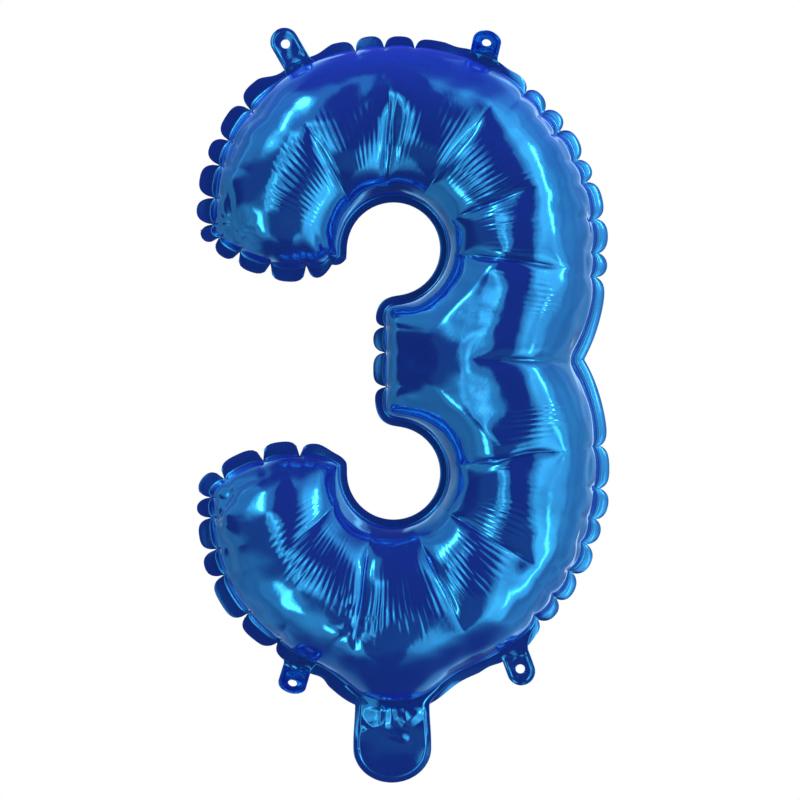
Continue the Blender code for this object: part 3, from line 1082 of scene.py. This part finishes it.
    def margin_width(self) -> Array:
        """Width of the weld margin round the loop: lobes (1 - |2f - 1|^p)^0.5 between gathers, a
        plain band round the bays, and webs that reach the hang tabs' fold lines."""
        body = self.body
        gathers = np.sort(body.gather_indices())
        marks = body.run[gathers]
        which = np.searchsorted(marks, body.run, side="right") - 1
        start = marks[which]
        stop = np.append(marks[1:], marks[0] + body.length)[which]
        run = np.where(body.run < marks[0], body.run + body.length, body.run)
        share = (run - start) / (stop - start)
        share = np.where(share > 1.0, share - np.floor(share), share)
        power = np.clip((stop - start) / (6.0 * MM), 2.1, 30.0)
        lobe = np.sqrt(np.maximum(1.0 - np.abs(2.0 * share - 1.0) ** power, 0.0))
        left = smooth_step(-body.outward[:, 0], 0.2, 0.85)
        right = smooth_step(body.outward[:, 0], 0.1, 0.7)
        lobe = 0.45 * right + (1.0 - 0.45 * right) * lobe
        count = len(body.loop)
        plan = body.plan
        order = np.arange(count)
        half = plan.rows + plan.columns
        on_end = (order < plan.rows) | ((order >= half) & (order < half + plan.rows))
        on_inner = order >= half + plan.rows
        outer = self.outer_margin + self.left_margin_gain * left
        wide = np.where(on_end, self.end_margin, np.where(on_inner, self.nub_margin, outer))
        wide = ring_average(wide[:, None], body.run, body.length, 3.0 * MM)[:, 0]
        uneven = np.random.default_rng(19).uniform(0.86, 1.12, len(gathers))[which]
        width = self.notch_margin + (wide * uneven - self.notch_margin) * lobe
        width = width + (self.bay_margin - width) * body.bay_share
        for root in tab_roots():
            away = np.linalg.norm(body.rim - root, axis=1)
            nearest = int(np.argmin(away))
            reach = float((root - body.rim[nearest]) @ body.outward[nearest])
            along_rim = np.array([-body.outward[nearest][1], body.outward[nearest][0]])
            aside = np.abs((body.rim - root) @ along_rim)
            narrowing = 1.0 - 0.5 * smooth_step(aside, self.web_full, self.web_end)
            web = np.maximum(reach - 0.2 * MM, 1.5 * MM) * narrowing
            close = (1.0 - smooth_step(aside, self.web_full + 2 * MM, self.web_end)) * (away < 28 * MM)
            width = width + (web - width) * close
        room = (body.rim[:, 1] - body.tail_fold[1] - 0.8 * MM) / np.maximum(-body.outward[:, 1], 0.05)
        near_neck = np.abs(body.rim[:, 0] - body.tail_fold[0]) < 26 * MM
        above_fold = np.minimum(width, np.maximum(room, 0.2 * MM))
        return np.where(near_neck & (body.outward[:, 1] < 0), above_fold, width)

    def margin_tilt(self) -> Array:
        """Slope of the weld margin out of the digit's plane, backwards positive: the right side
        curls back, and each lobe has a little turn of its own."""
        body = self.body
        gathers = np.sort(body.gather_indices())
        which = np.searchsorted(body.run[gathers], body.run, side="right") - 1
        own = np.random.default_rng(23).normal(0.0, 0.10, len(gathers))[which]
        right = smooth_step(body.outward[:, 0], 0.15, 0.8) * (1.0 - body.bay_share)
        left = smooth_step(-body.outward[:, 0], 0.1, 0.7) * (1.0 - body.bay_share)
        tilt = (0.2 + 0.45 * right) * own * (1.0 - body.bay_share)
        tilt = tilt + self.right_curl * right - self.left_curl * left
        for root in tab_roots():
            tilt = tilt * (1.0 - np.exp(-((np.linalg.norm(body.rim - root, axis=1) / (16 * MM)) ** 4)))
        at_neck = np.exp(-(((body.rim[:, 0] - body.tail_fold[0]) / (26 * MM)) ** 4))
        tilt = tilt * (1.0 - at_neck * (body.rim[:, 1] < -0.3))
        return ring_average(tilt[:, None], body.run, body.length, 1.0 * MM)[:, 0]

    def margin_points(self, edge: Array) -> Array:
        """Rows of the weld margin outside the body's edge.

        Args:
            edge: The body's edge points, one row each.

        Returns:
            The rows, outermost last, with three coordinates last.
        """
        body, front = self.body, self.side.value
        width, tilt = self.margin_width(), self.margin_tilt()
        shares = (np.arange(self.margin_rows) + 1.0) / self.margin_rows
        rows = []
        for share in shares:
            out = share * width
            place = edge[:, [0, 2]] + body.outward * (out * np.cos(tilt))[:, None]
            depth = body.sway(place) + out * np.sin(tilt) * (0.6 + 0.4 * share)
            ply = 0.10 * MM * (1.0 - smooth_step(np.array(share), 0.8, 1.0))
            depth = depth + front * (ply + body.neck_gap(place))
            rows.append(np.stack([place[:, 0], depth, place[:, 1]], axis=1))
        return np.array(rows)

    def build(self) -> bpy.types.Object:
        """Returns:
            The panel.
        """
        body = self.body
        grid = self.body_points()
        edge = grid.reshape(-1, 3)[body.loop]
        margin = self.margin_points(edge)
        count = len(body.loop)
        points = np.concatenate([grid.reshape(-1, 3), margin.reshape(-1, 3)])
        rings = np.concatenate(
            [body.loop[None, :], body.index.size + np.arange(margin.shape[0] * count).reshape(-1, count)]
        )
        closed = np.concatenate([rings, rings[:, :1]], axis=1)
        quads = np.concatenate([grid_quads(body.index), grid_quads(closed)[:, ::-1]])
        quads = turned_alike(points, quads, len(grid_quads(body.index)))
        surface = np.concatenate([grid.reshape(-1, 3)[:, [0, 2]], margin.reshape(-1, 3)[:, [0, 2]]])
        weld = np.concatenate([np.zeros(body.index.size), np.ones(margin.shape[0] * count)])
        facing = (0.0, self.side.value, 0.0)
        panel = film_mesh(self.name, points, quads, facing, surface, {"weld": weld})
        panel.data.materials.append(FoilFinish("panel_foil_" + self.side.name.lower()).material())
        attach(panel, "envelope")
        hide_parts(self.node)
        area = film_area(points, quads)
        LOG.info("%s: %d quads, %.4f m2 of film", self.name, len(quads), area)
        return panel


# ---------------------------------------------------------------- hang tabs


@dataclass
class HangTab:
    """A hang tab: a welded tongue with a round end and a punched hole, whose root runs on into the
    weld margin and whose film bends at the fold line."""

    short: str  # its place, such as top_left
    reach: float  # from the fold line to the hole's centre
    seed: int
    half_width: float = 7.7 * MM
    hole_inset: float = 1.3 * MM
    hole_radius: float = 2.45 * MM
    root_depth: float = 11.0 * MM
    root_flare: float = 8.0 * MM
    fold_reach: float = 1.2 * MM  # on either side of the fold line
    thickness: float = 0.30 * MM
    weld_inset: float = 1.6 * MM
    weld_rise: float = 0.22 * MM
    cupping: float = 0.40 * MM
    fold_rise: float = 0.35 * MM
    rings: int = 16
    root_rows: int = 22

    def fold_line(self) -> tuple[Array, Array, Array, float]:
        """The fold line's middle and direction, the way up from it in the digit's plane, and the
        tab's tilt to the front, from the record's joint and mount."""
        joint = joint_named(f"{self.short}_tab")
        face = next(m for m in frame["record"]["mounts"] if m["name"] == f"{self.short}_tab_face")
        across = np.array(joint["axis"])
        up = np.cross(np.array(face["axis"]), across)
        level = np.array([up[0], 0.0, up[2]]) / np.linalg.norm(up[[0, 2]])
        return np.array(joint["pos_m"]), across, level, math.asin(float(np.clip(-up[1], -1.0, 1.0)))

    def outline(self) -> tuple[Array, Array]:
        """The tongue's outline in its own plane, x across and y from the fold line, from the fold
        line's right end round the tip and back along the fold line.

        Returns:
            The closed outline's points, and which of them lie on the fold line.
        """
        centre = self.reach + self.hole_inset
        tip = arc((0.0, centre), self.half_width, 0.0, 180.0, 60)
        sides = max(centre, 1.0 * MM)
        right = np.stack([np.full(12, self.half_width), np.linspace(0.0, sides, 13)[:-1]], axis=1)
        left = right[::-1] * (-1.0, 1.0)
        across = np.linspace(-self.half_width, self.half_width, 37)[1:-1]
        fold = np.stack([across, np.zeros(35)], axis=1)
        corner = np.array([[-self.half_width, 0.0]])
        points = np.concatenate([right, tip, left[:-1], corner, fold])
        on_fold = np.isclose(points[:, 1], 0.0)
        return points, on_fold

    def bent(self, flat: Array, relief: Array) -> Array:
        """Flat points of the tab carried onto its bend: below the fold line the film lies in the
        digit's plane, past it the film turns over 4 mm to the tab's own tilt.

        Args:
            flat: Points in the tab's plane.
            relief: How far each stands off it.

        Returns:
            The points in metres in the frame.
        """
        root, across, level, tilt = self.fold_line()
        front = np.array([0.0, -1.0, 0.0])
        table = np.linspace(-0.02, 0.03, 1001)
        turn = tilt * smooth_step(table, -1.4 * MM, 2.6 * MM)
        step = table[1] - table[0]
        rise, out = np.cumsum(np.cos(turn)) * step, np.cumsum(np.sin(turn)) * step
        rise -= np.interp(0.0, table, rise)
        out -= np.interp(-0.02, table, out)
        here = np.interp(flat[:, 1], table, turn)
        points = root + flat[:, :1] * across
        points += np.interp(flat[:, 1], table, rise)[:, None] * level
        points += np.interp(flat[:, 1], table, out)[:, None] * front
        lift = np.cos(here)[:, None] * front - np.sin(here)[:, None] * level
        return points + relief[:, None] * lift

    def relief(self, flat: Array) -> Array:
        """How far the film stands off the tab's plane: a raised weld line inside the outline, a
        slight cupping, and crumples across the fold."""
        centre = np.array([0.0, self.reach + self.hole_inset])
        past = np.maximum(flat[:, 1] - centre[1], 0.0)
        from_axis = np.hypot(flat[:, 0], past)
        inside = self.half_width - from_axis
        line = self.weld_rise * np.exp(-(((inside - self.weld_inset) / (0.55 * MM)) ** 2))
        cup = self.cupping * np.minimum(from_axis / self.half_width, 1.0) ** 2
        cup = cup * smooth_step(flat[:, 1], -2 * MM, 4 * MM)
        folds = np.exp(-((flat[:, 1] / (3.4 * MM)) ** 2))
        crumple = 0.20 * MM * smooth_noise(flat * (1.0, 1.5), 9 * MM, self.seed)
        slant = flat[:, 1] + 0.25 * flat[:, 0]
        crumple += self.fold_rise * np.exp(-soft_abs(slant, 0.1 * MM) / (0.9 * MM))
        wander = 0.16 * MM * smooth_noise(flat, 11 * MM, self.seed + 1)
        held = smooth_step(flat[:, 1], -5 * MM, -1 * MM)
        return line * smooth_step(flat[:, 1], -1 * MM, 2 * MM) + (crumple * folds + wander + cup) * held

    def finish(self) -> FoilFinish:
        """The tab's foil, which is more finely crinkled than the panels'."""
        name = f"tab_foil_{self.short}"
        return FoilFinish(name, roughness=0.10, crinkle=0.12, crinkle_size=3 * MM, pattern=Pattern.SURFACE)

    def build(self) -> bpy.types.Object:
        """Makes the tab: rings from the hole out to the outline, and rows from the fold line down
        into the weld margin.

        Returns:
            The tab.
        """
        outline, on_fold = self.outline()
        hole_centre = np.array([0.0, self.reach])
        heading = outline - hole_centre
        heading /= np.linalg.norm(heading, axis=1)[:, None]
        hole = hole_centre + self.hole_radius * heading
        shares = np.linspace(0.0, 1.0, self.rings + 1)[:, None, None]
        rings = hole + (outline - hole) * shares
        count = len(outline)
        index = np.arange(rings.shape[0] * count).reshape(-1, count)
        closed = np.concatenate([index, index[:, :1]], axis=1)
        start = int(np.argmax(on_fold & (outline[:, 0] < 0)))
        order = np.concatenate([np.arange(start, count), [0]])
        fold = outline[order]
        fall = np.linspace(0.0, 1.0, self.root_rows + 1)[1:, None]
        spread = 1.0 + self.root_flare / self.half_width * fall**1.7
        below = np.broadcast_to(-self.root_depth * fall, (self.root_rows, len(fold)))
        root = np.stack([fold[None, :, 0] * spread, below], axis=-1)
        root_index = index.size + np.arange(self.root_rows * len(fold)).reshape(self.root_rows, -1)
        root_index = np.concatenate([index[-1][order][None, :], root_index])
        flat = np.concatenate([rings.reshape(-1, 2), root.reshape(-1, 2)])
        quads = np.concatenate([grid_quads(closed), grid_quads(root_index)[:, ::-1]])
        points = self.bent(flat, self.relief(flat))
        quads = turned_alike(points, quads, len(grid_quads(closed)))
        tab = film_mesh(f"film_{self.short}_hang_tab", points, quads, (0.0, -1.0, 0.0), flat)
        shell = tab.modifiers.new("two_plies", "SOLIDIFY")
        shell.thickness, shell.offset = self.thickness, 0.0
        tab.data.materials.append(self.finish().material())
        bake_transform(tab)
        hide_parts(f"hang_tab_{self.short}")
        LOG.info("%s: %d quads", tab.name, len(quads))
        return tab


# ---------------------------------------------------------------- filling tail and valve


@dataclass(frozen=True)
class Pleat:
    """A short straight fold: a ridge of triangular section whose height dies at its ends."""

    place: tuple[float, float]  # from the middle of the fold line, across and up
    lean: float  # from upright, in degrees
    length: float
    width: float
    height: float

    def rise(self, flat: Array) -> Array:
        """Height of the ridge at flat points."""
        turn = math.radians(self.lean)
        along_line = np.array([math.sin(turn), math.cos(turn)])
        offset = flat - np.array(self.place)
        run, aside = offset @ along_line, offset @ np.array([along_line[1], -along_line[0]])
        crest = np.maximum(1.0 - soft_abs(aside, 0.15 * MM) / self.width, 0.0)
        return self.height * crest * (1.0 - smooth_step(np.abs(run), 0.2 * self.length, 0.5 * self.length))


@dataclass
class TailPly:
    """One ply of the filling tail: a tongue with a weld line just inside its edge and a pocket over
    the valve, whose flared top runs on between the panels."""

    side: Side
    seed: int
    pleats: tuple[Pleat, ...]
    neck_half_width: float = 20.3 * MM
    top: float = 11.0 * MM
    flare: float = 11.0 * MM
    weld: float = 3.2 * MM
    pocket: float = 0.75 * MM
    round_end: float = 19.0 * MM  # length of the half ellipse at the end
    weld_rise: float = 0.22 * MM
    facet_height: float = 0.45 * MM
    facet_length: float = 26 * MM
    sway_height: float = 0.55 * MM
    columns: int = 150
    rows: int = 170

    def half_width(self, height: Array, low: float, round_height: float, widest: float) -> Array:
        """Half the tail's width at heights from the fold line: flared above it, nearly straight
        below, and a half ellipse at the end."""
        flare = self.flare * smooth_step(height, 0.0, self.top * 1.4)
        straight = self.neck_half_width + (widest - self.neck_half_width) * smooth_step(-height, 0.0, 0.02)
        share = np.clip((round_height - height) / (round_height - low), 0.0, 1.0)
        return (straight + flare) * np.sqrt(np.maximum(1.0 - share**2, 1e-5))

    def build(self) -> bpy.types.Object:
        """Makes the ply.

        Returns:
            The ply.
        """
        node = f"tail_{self.side.name.lower()}_ply"
        low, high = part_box(node)
        place = np.array(joint_named("tail")["pos_m"])
        bottom = float(low.z) - place[2]
        round_height = bottom + self.round_end
        across = np.sin(np.linspace(-0.5 * math.pi, 0.5 * math.pi, self.columns + 1))
        upper = np.linspace(self.top, round_height, self.rows // 2 + 1)
        turn = np.linspace(0.0, 0.5 * math.pi, self.rows // 2 + 1)[1:]
        heights = np.concatenate([upper, round_height + (bottom - round_height) * np.sin(turn)])
        half = self.half_width(heights, bottom, round_height, float(high.x - low.x) / 2.0)
        columns = across[:, None] * half[None, :]
        flat = np.stack([columns, np.broadcast_to(heights, columns.shape)], axis=-1)
        rim_side = (1.0 - np.abs(across))[:, None] * half[None, :]
        below = np.maximum(round_height - flat[..., 1], 0.0) / (round_height - bottom)
        ratio = np.hypot(flat[..., 0] / (float(high.x - low.x) / 2.0), below)
        rim_end = np.maximum(1.0 - ratio, 0.0) * (round_height - bottom)
        inside = np.where(flat[..., 1] < round_height, rim_end, rim_side)
        open_up = smooth_step(inside, self.weld - 0.5 * MM, self.weld + 0.9 * MM)
        over_valve = np.exp(-((flat[..., 0] / (12 * MM)) ** 4))
        over_valve = over_valve * smooth_step(flat[..., 1], -24 * MM, -12 * MM)
        neck = self.neck_share(flat)
        gap = 0.06 * MM + open_up * self.pocket * (0.45 + 0.8 * over_valve) + 0.45 * MM * neck
        gap = gap * smooth_step(inside, 0.0, 0.35 * MM)
        edge_line = self.weld_rise * np.exp(-(((inside - self.weld) / (0.5 * MM)) ** 2))
        free = smooth_step(-flat[..., 1], -1.0 * MM, 2.0 * MM) * smooth_step(inside, 0.5 * MM, 4 * MM)
        crumple = sum(pleat.rise(flat) for pleat in self.pleats)
        zone = np.exp(-(((flat[..., 1] + 9 * MM) / (9 * MM)) ** 4))
        facets = soft_abs(smooth_noise(flat, self.facet_length, self.seed), 0.04)
        crumple += zone * self.facet_height * facets
        crumple += 0.10 * MM * smooth_noise(flat, 19 * MM, self.seed + 1)
        sway = self.sway_height * smooth_noise(flat, 60 * MM, 77)
        sway = sway * smooth_step(-flat[..., 1], 0.0, 12 * MM)
        depth = self.side.value * (gap + (edge_line + crumple) * free) + sway
        points = np.stack([place[0] + flat[..., 0], depth, place[2] + flat[..., 1]], axis=-1)
        index = np.arange(inside.size).reshape(inside.shape)
        weld = 1.0 - smooth_step(inside, self.weld - 0.6 * MM, self.weld + 0.2 * MM)
        quads = grid_quads(index)
        ply = film_mesh(
            f"film_{node}",
            points.reshape(-1, 3),
            quads,
            (0.0, self.side.value, 0.0),
            flat.reshape(-1, 2),
            {"weld": weld.ravel()},
        )
        finish = FoilFinish(
            f"tail_foil_{self.side.name.lower()}",
            roughness=0.085,
            crinkle=0.10,
            crinkle_size=4 * MM,
            pattern=Pattern.SURFACE,
        )
        ply.data.materials.append(finish.material())
        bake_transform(ply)
        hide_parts(node)
        size = (2.0 * float(half.max()) * 1.01, (self.top - bottom) * 1.01)
        area = film_area(points.reshape(-1, 3), quads)
        min(area, size[0] * size[1])
        LOG.info("%s: %d quads, %.5f m2", ply.name, len(quads), area)
        return ply

    def neck_share(self, flat: Array) -> Array:
        """1 at the open neck, falling to its sides and away from the fold line."""
        return np.exp(-((flat[..., 0] / (16 * MM)) ** 4) - (flat[..., 1] / (16 * MM)) ** 2)


class FillingTail:
    """The two plies of the filling tail and the four leaves of valve film inside them."""

    pleats = {
        Side.FRONT: (
            Pleat((-3.4 * MM, -2.0 * MM), 3.0, 22 * MM, 2.6 * MM, 1.1 * MM),
            Pleat((3.2 * MM, -3.0 * MM), -14.0, 20 * MM, 3.4 * MM, 1.0 * MM),
            Pleat((10.5 * MM, -6.0 * MM), 52.0, 17 * MM, 4.6 * MM, 1.2 * MM),
            Pleat((0.8 * MM, -14.6 * MM), 112.0, 20 * MM, 3.8 * MM, 1.2 * MM),
            Pleat((-10.5 * MM, -11.5 * MM), 72.0, 16 * MM, 3.6 * MM, 0.9 * MM),
        ),
        Side.BACK: (
            Pleat((-2.5 * MM, -4.5 * MM), 6.0, 16 * MM, 2.0 * MM, 0.9 * MM),
            Pleat((3.0 * MM, -5.0 * MM), -10.0, 15 * MM, 2.2 * MM, 0.8 * MM),
            Pleat((0.0 * MM, -13.0 * MM), 75.0, 18 * MM, 3.0 * MM, 1.0 * MM),
            Pleat((9.0 * MM, -9.0 * MM), 48.0, 12 * MM, 2.6 * MM, 0.7 * MM),
        ),
    }
    valve_nodes = [f"valve_{side}_film_{end}" for end in ("upper", "lower") for side in ("front", "back")]

    def build(self) -> None:
        """Makes both plies and dresses the valve's leaves."""
        for seed, (side, pleats) in enumerate(self.pleats.items()):
            TailPly(side, 60 + 5 * seed, pleats).build()
        clear = ValveFinish().material()
        for name in self.valve_nodes:
            leaf = frame["nodes"][name]
            leaf.data.materials.clear()
            leaf.data.materials.append(clear)
            LOG.info("%s: clear film", name)


# ---------------------------------------------------------------- studio


@dataclass(frozen=True)
class SoftBox:
    """A soft light far away, as a window of directions: azimuth from the front, right positive,
    and elevation, in degrees."""

    azimuth: tuple[float, float]
    elevation: tuple[float, float]
    level: float
    soft: float = 6.0
    soft_elevation: float = 12.0


@dataclass(frozen=True)
class Studio:
    """The camera, the pale floor and the soft white light. The brightness of a direction is
    dim + gain * level^2, where level is the sum of the boxes that cover it."""

    frame_width: float = 0.43504
    lens: float = 100.0
    sensor: float = 36.0
    aim: tuple[float, float] = (0.0077, -0.1933)
    floor_drop: float = 0.08
    floor_radius: float = 0.37
    backdrop: float = 1.0
    dim: float = 0.05
    gain: float = 0.74
    stray_level: float = 0.05
    least_share: float = 0.62  # of a box's level, where its cloth is darkest
    uneven_share: float = 0.76
    boxes: tuple[SoftBox, ...] = (
        SoftBox((19.0, 150.0), (-60.0, 62.0), 0.80, 3.5, 12.0),
        SoftBox((26.0, 62.0), (-46.0, 50.0), 0.34, 4.0, 8.0),
        SoftBox((31.0, 52.0), (2.0, 44.0), 0.30, 4.0, 6.0),
        SoftBox((49.0, 52.0), (10.0, 36.0), 2.3, 1.0, 2.0),
        SoftBox((42.0, 47.0), (-34.0, -4.0), 1.0, 2.0, 4.0),
        SoftBox((-28.0, -7.5), (-20.0, 22.0), 0.92, 2.0, 5.0),
        SoftBox((-21.0, -16.0), (-14.0, 16.0), 0.7, 2.0, 4.0),
        SoftBox((-86.0, -16.0), (14.0, 56.0), 0.72, 3.0, 6.0),
        SoftBox((-50.0, -30.0), (18.0, 46.0), 0.55, 4.0, 5.0),
        SoftBox((-43.0, -37.0), (24.0, 46.0), 2.0, 1.5, 3.0),
        SoftBox((-84.0, -26.0), (-60.0, -12.0), 0.62, 4.0, 6.0),
        SoftBox((-46.0, -36.0), (-40.0, -20.0), 1.7, 2.5, 3.0),
        SoftBox((-62.0, -26.0), (-14.0, 14.0), 0.28, 6.0, 6.0),
        SoftBox((-152.0, -84.0), (-60.0, 62.0), 0.62, 4.0),
        SoftBox((-60.0, 60.0), (-52.0, -17.0), 0.26, 6.0, 4.0),
        SoftBox((140.0, 158.0), (-46.0, 50.0), 0.55, 3.0, 7.0),
        SoftBox((-170.0, -152.0), (-46.0, 50.0), 0.95, 3.0, 7.0),
        SoftBox((120.0, 240.0), (2.0, 46.0), 0.22, 9.0),
        SoftBox((-240.0, -120.0), (2.0, 46.0), 0.22, 9.0),
    )

    def build(self) -> None:
        """Makes the camera, the light and the floor."""
        self.add_camera()
        self.add_light()
        self.add_floor()
        bpy.context.scene.view_settings.view_transform = "Standard"

    def add_camera(self) -> None:
        """A camera level with the digit's middle that looks along +Y."""
        data = bpy.data.cameras.new("camera")
        data.lens, data.sensor_width = self.lens, self.sensor
        camera = bpy.data.objects.new("camera", data)
        distance = self.frame_width * self.lens / self.sensor
        camera.location = (self.aim[0], -distance, self.aim[1])
        camera.rotation_euler = (math.radians(90.0), 0.0, 0.0)
        bpy.context.scene.collection.objects.link(camera)
        bpy.context.scene.camera = camera

    def add_light(self) -> None:
        """A white backdrop for the camera, and white soft boxes in a dim room all round."""
        world = bpy.data.worlds.new("studio")
        bpy.context.scene.world = world
        world.use_nodes = True
        bench = Bench(world.node_tree)
        heading = bench.node("ShaderNodeTexCoord", {}, {}, "Generated")
        split = bench.node("ShaderNodeSeparateXYZ", {}, {"Vector": heading})
        x, y, z = (Term(bench, split.socket.node.outputs[k]) for k in range(3))
        azimuth = x.math("ARCTAN2", y * -1.0) * math.degrees(1.0)
        elevation = z.math("ARCSINE") * math.degrees(1.0)
        level: Any = self.stray_level
        for box in self.boxes:
            share = azimuth.window(*box.azimuth, box.soft)
            share = share * elevation.window(*box.elevation, box.soft_elevation)
            level = share * box.level + level
        level = level * (self.least_share + self.uneven_share * bench.noise(heading, 2.6, 2.0))
        glow = self.dim + self.gain * level * level
        seen = bench.node("ShaderNodeLightPath", {}, {}, "Is Camera Ray")
        shine = glow + seen * (self.backdrop - glow)
        back = bench.node("ShaderNodeBackground", {}, {"Color": (1.0, 1.0, 1.0, 1.0), "Strength": shine})
        bench.close("World", back)

    def add_floor(self) -> None:
        """A pale round floor under the balloon that fades out at its rim, lit from above."""
        radius = np.linspace(0.0, self.floor_radius, 25)[:, None]
        angle = np.linspace(0.0, 2.0 * math.pi, 73)[None, :-1]
        centre = (CAD_LOW + CAD_HIGH) / 2.0
        level = CAD_LOW.z - self.floor_drop
        off = np.stack([radius * np.cos(angle), radius * np.sin(angle), 0.0 * radius * angle], axis=-1)
        index = np.arange(25 * 72).reshape(25, 72)
        closed = np.concatenate([index, index[:, :1]], axis=1)
        flat = off.reshape(-1, 3)
        place = (centre.x, centre.y, level)
        floor = film_mesh("floor", flat + place, grid_quads(closed), (0.0, 0.0, 1.0), flat[:, :2])
        made, bench = Bench.of_material("pale_floor")
        place = bench.node("ShaderNodeTexCoord", {}, {}, "UV")
        cloud = bench.noise(place, 12.0, 3.0)
        colour = bench.blend(cloud, (0.86, 0.86, 0.87), (0.80, 0.80, 0.82))
        away = bench.node("ShaderNodeVectorMath", {"operation": "LENGTH"}, {0: place}, "Value")
        share = away.rise(0.55 * self.floor_radius, 0.98 * self.floor_radius)
        shader = bench.principled(Base_Color=colour, Roughness=0.7)
        clear = bench.node("ShaderNodeBsdfTransparent", {}, {})
        mixed = bench.node("ShaderNodeMixShader", {}, {0: share, 1: shader, 2: clear})
        bench.close("Material", mixed)
        floor.data.materials.append(made)
        floor.visible_glossy = False
        data = bpy.data.lights.new("overhead", "AREA")
        data.energy, data.size = 14.0, 0.7
        lamp = bpy.data.objects.new("overhead", data)
        lamp.location = (centre.x, centre.y, CAD_HIGH.z + 0.7)
        lamp.visible_glossy = False
        bpy.context.scene.collection.objects.link(lamp)


# ---------------------------------------------------------------- the balloon


UPPER = Bowl(
    opening="upper_bay",
    side=1.0,
    radius=112.2 * MM,
    neck_reach=0.0,
    gathers=(
        *(49.8, 42.6, 35.5, 25.9, 19.1, 8.5, -1.1, -8.0),
        *(84.0, 92.5, 100.8, 136.1, 146.7, 154.3, 164.3, 172.2),
    ),
    end_gathers=(0.05, 0.22, 0.50, 0.74, 0.93),
    creases=(
        Crease(126.8, 0.62, 2.4 * MM),
        Crease(92.5, 0.66, 2.6 * MM),
        Crease(89.3, 0.64, 1.0 * MM, 3.0 * MM),
        Crease(55.9, 0.74, 2.8 * MM),
        Crease(22.6, 0.64, 2.8 * MM),
        Crease(-7.1, 0.82, 3.0 * MM, 7.0 * MM),
    ),
)
LOWER = Bowl(
    opening="lower_bay",
    side=-1.0,
    radius=113.2 * MM,
    neck_reach=12.5 * MM,
    gathers=(-7.3, 4.4, 13.1, 20.4, 29.2, 37.7, 45.3, 124.6, 135.9, 149.1, 156.9, 166.3, 172.4),
    end_gathers=(0.28, 0.55, 0.88),
    creases=(
        Crease(-8.3, 0.78, 2.8 * MM, 7.0 * MM),
        Crease(33.1, 0.74, 2.8 * MM),
        Crease(65.9, 0.75, 2.8 * MM),
        Crease(104.0, 0.72, 3.0 * MM),
        Crease(145.0, 0.56, 1.6 * MM),
    ),
)


def main() -> None:
    """Builds the studio and every piece of the balloon."""
    logging.basicConfig(level=logging.INFO, format="%(message)s")
    Studio().build()
    body = DigitBody(DigitPlan((UPPER, LOWER)))
    middle = body.middle()
    bay = UPPER.bay()
    ridges = (
        Ridge((bay[0] + 14 * MM, middle + 8 * MM), (bay[0] + 60 * MM, middle + 58 * MM), 6 * MM, 1.2 * MM),
        Ridge((bay[0] + 14 * MM, middle - 8 * MM), (bay[0] + 58 * MM, middle - 46 * MM), 6 * MM, 1.2 * MM),
    )
    stars = (
        Star((-0.0836, -0.1008), 9, 10 * MM, 0.8 * MM),
        Star((-0.0928, -0.2590), 9, 9 * MM, 0.7 * MM, 0.6),
        Star((-0.0157, -0.3124), 9, 13 * MM, 0.85 * MM, 0.3),
    )
    FilmPanel(Side.FRONT, body, 11, stars=stars, ridges=ridges).build()
    FilmPanel(Side.BACK, body, 29, crease_shift=5.0, stars=stars[:2], ridges=ridges).build()
    for short, reach, seed in (
        ("top_left", 11.8 * MM, 3),
        ("top_right", 8.3 * MM, 13),
        ("bottom_left", 12.8 * MM, 23),
        ("bottom_right", 8.0 * MM, 33),
    ):
        HangTab(short, reach, seed).build()
    FillingTail().build()


if __name__ == "__main__":
    main()
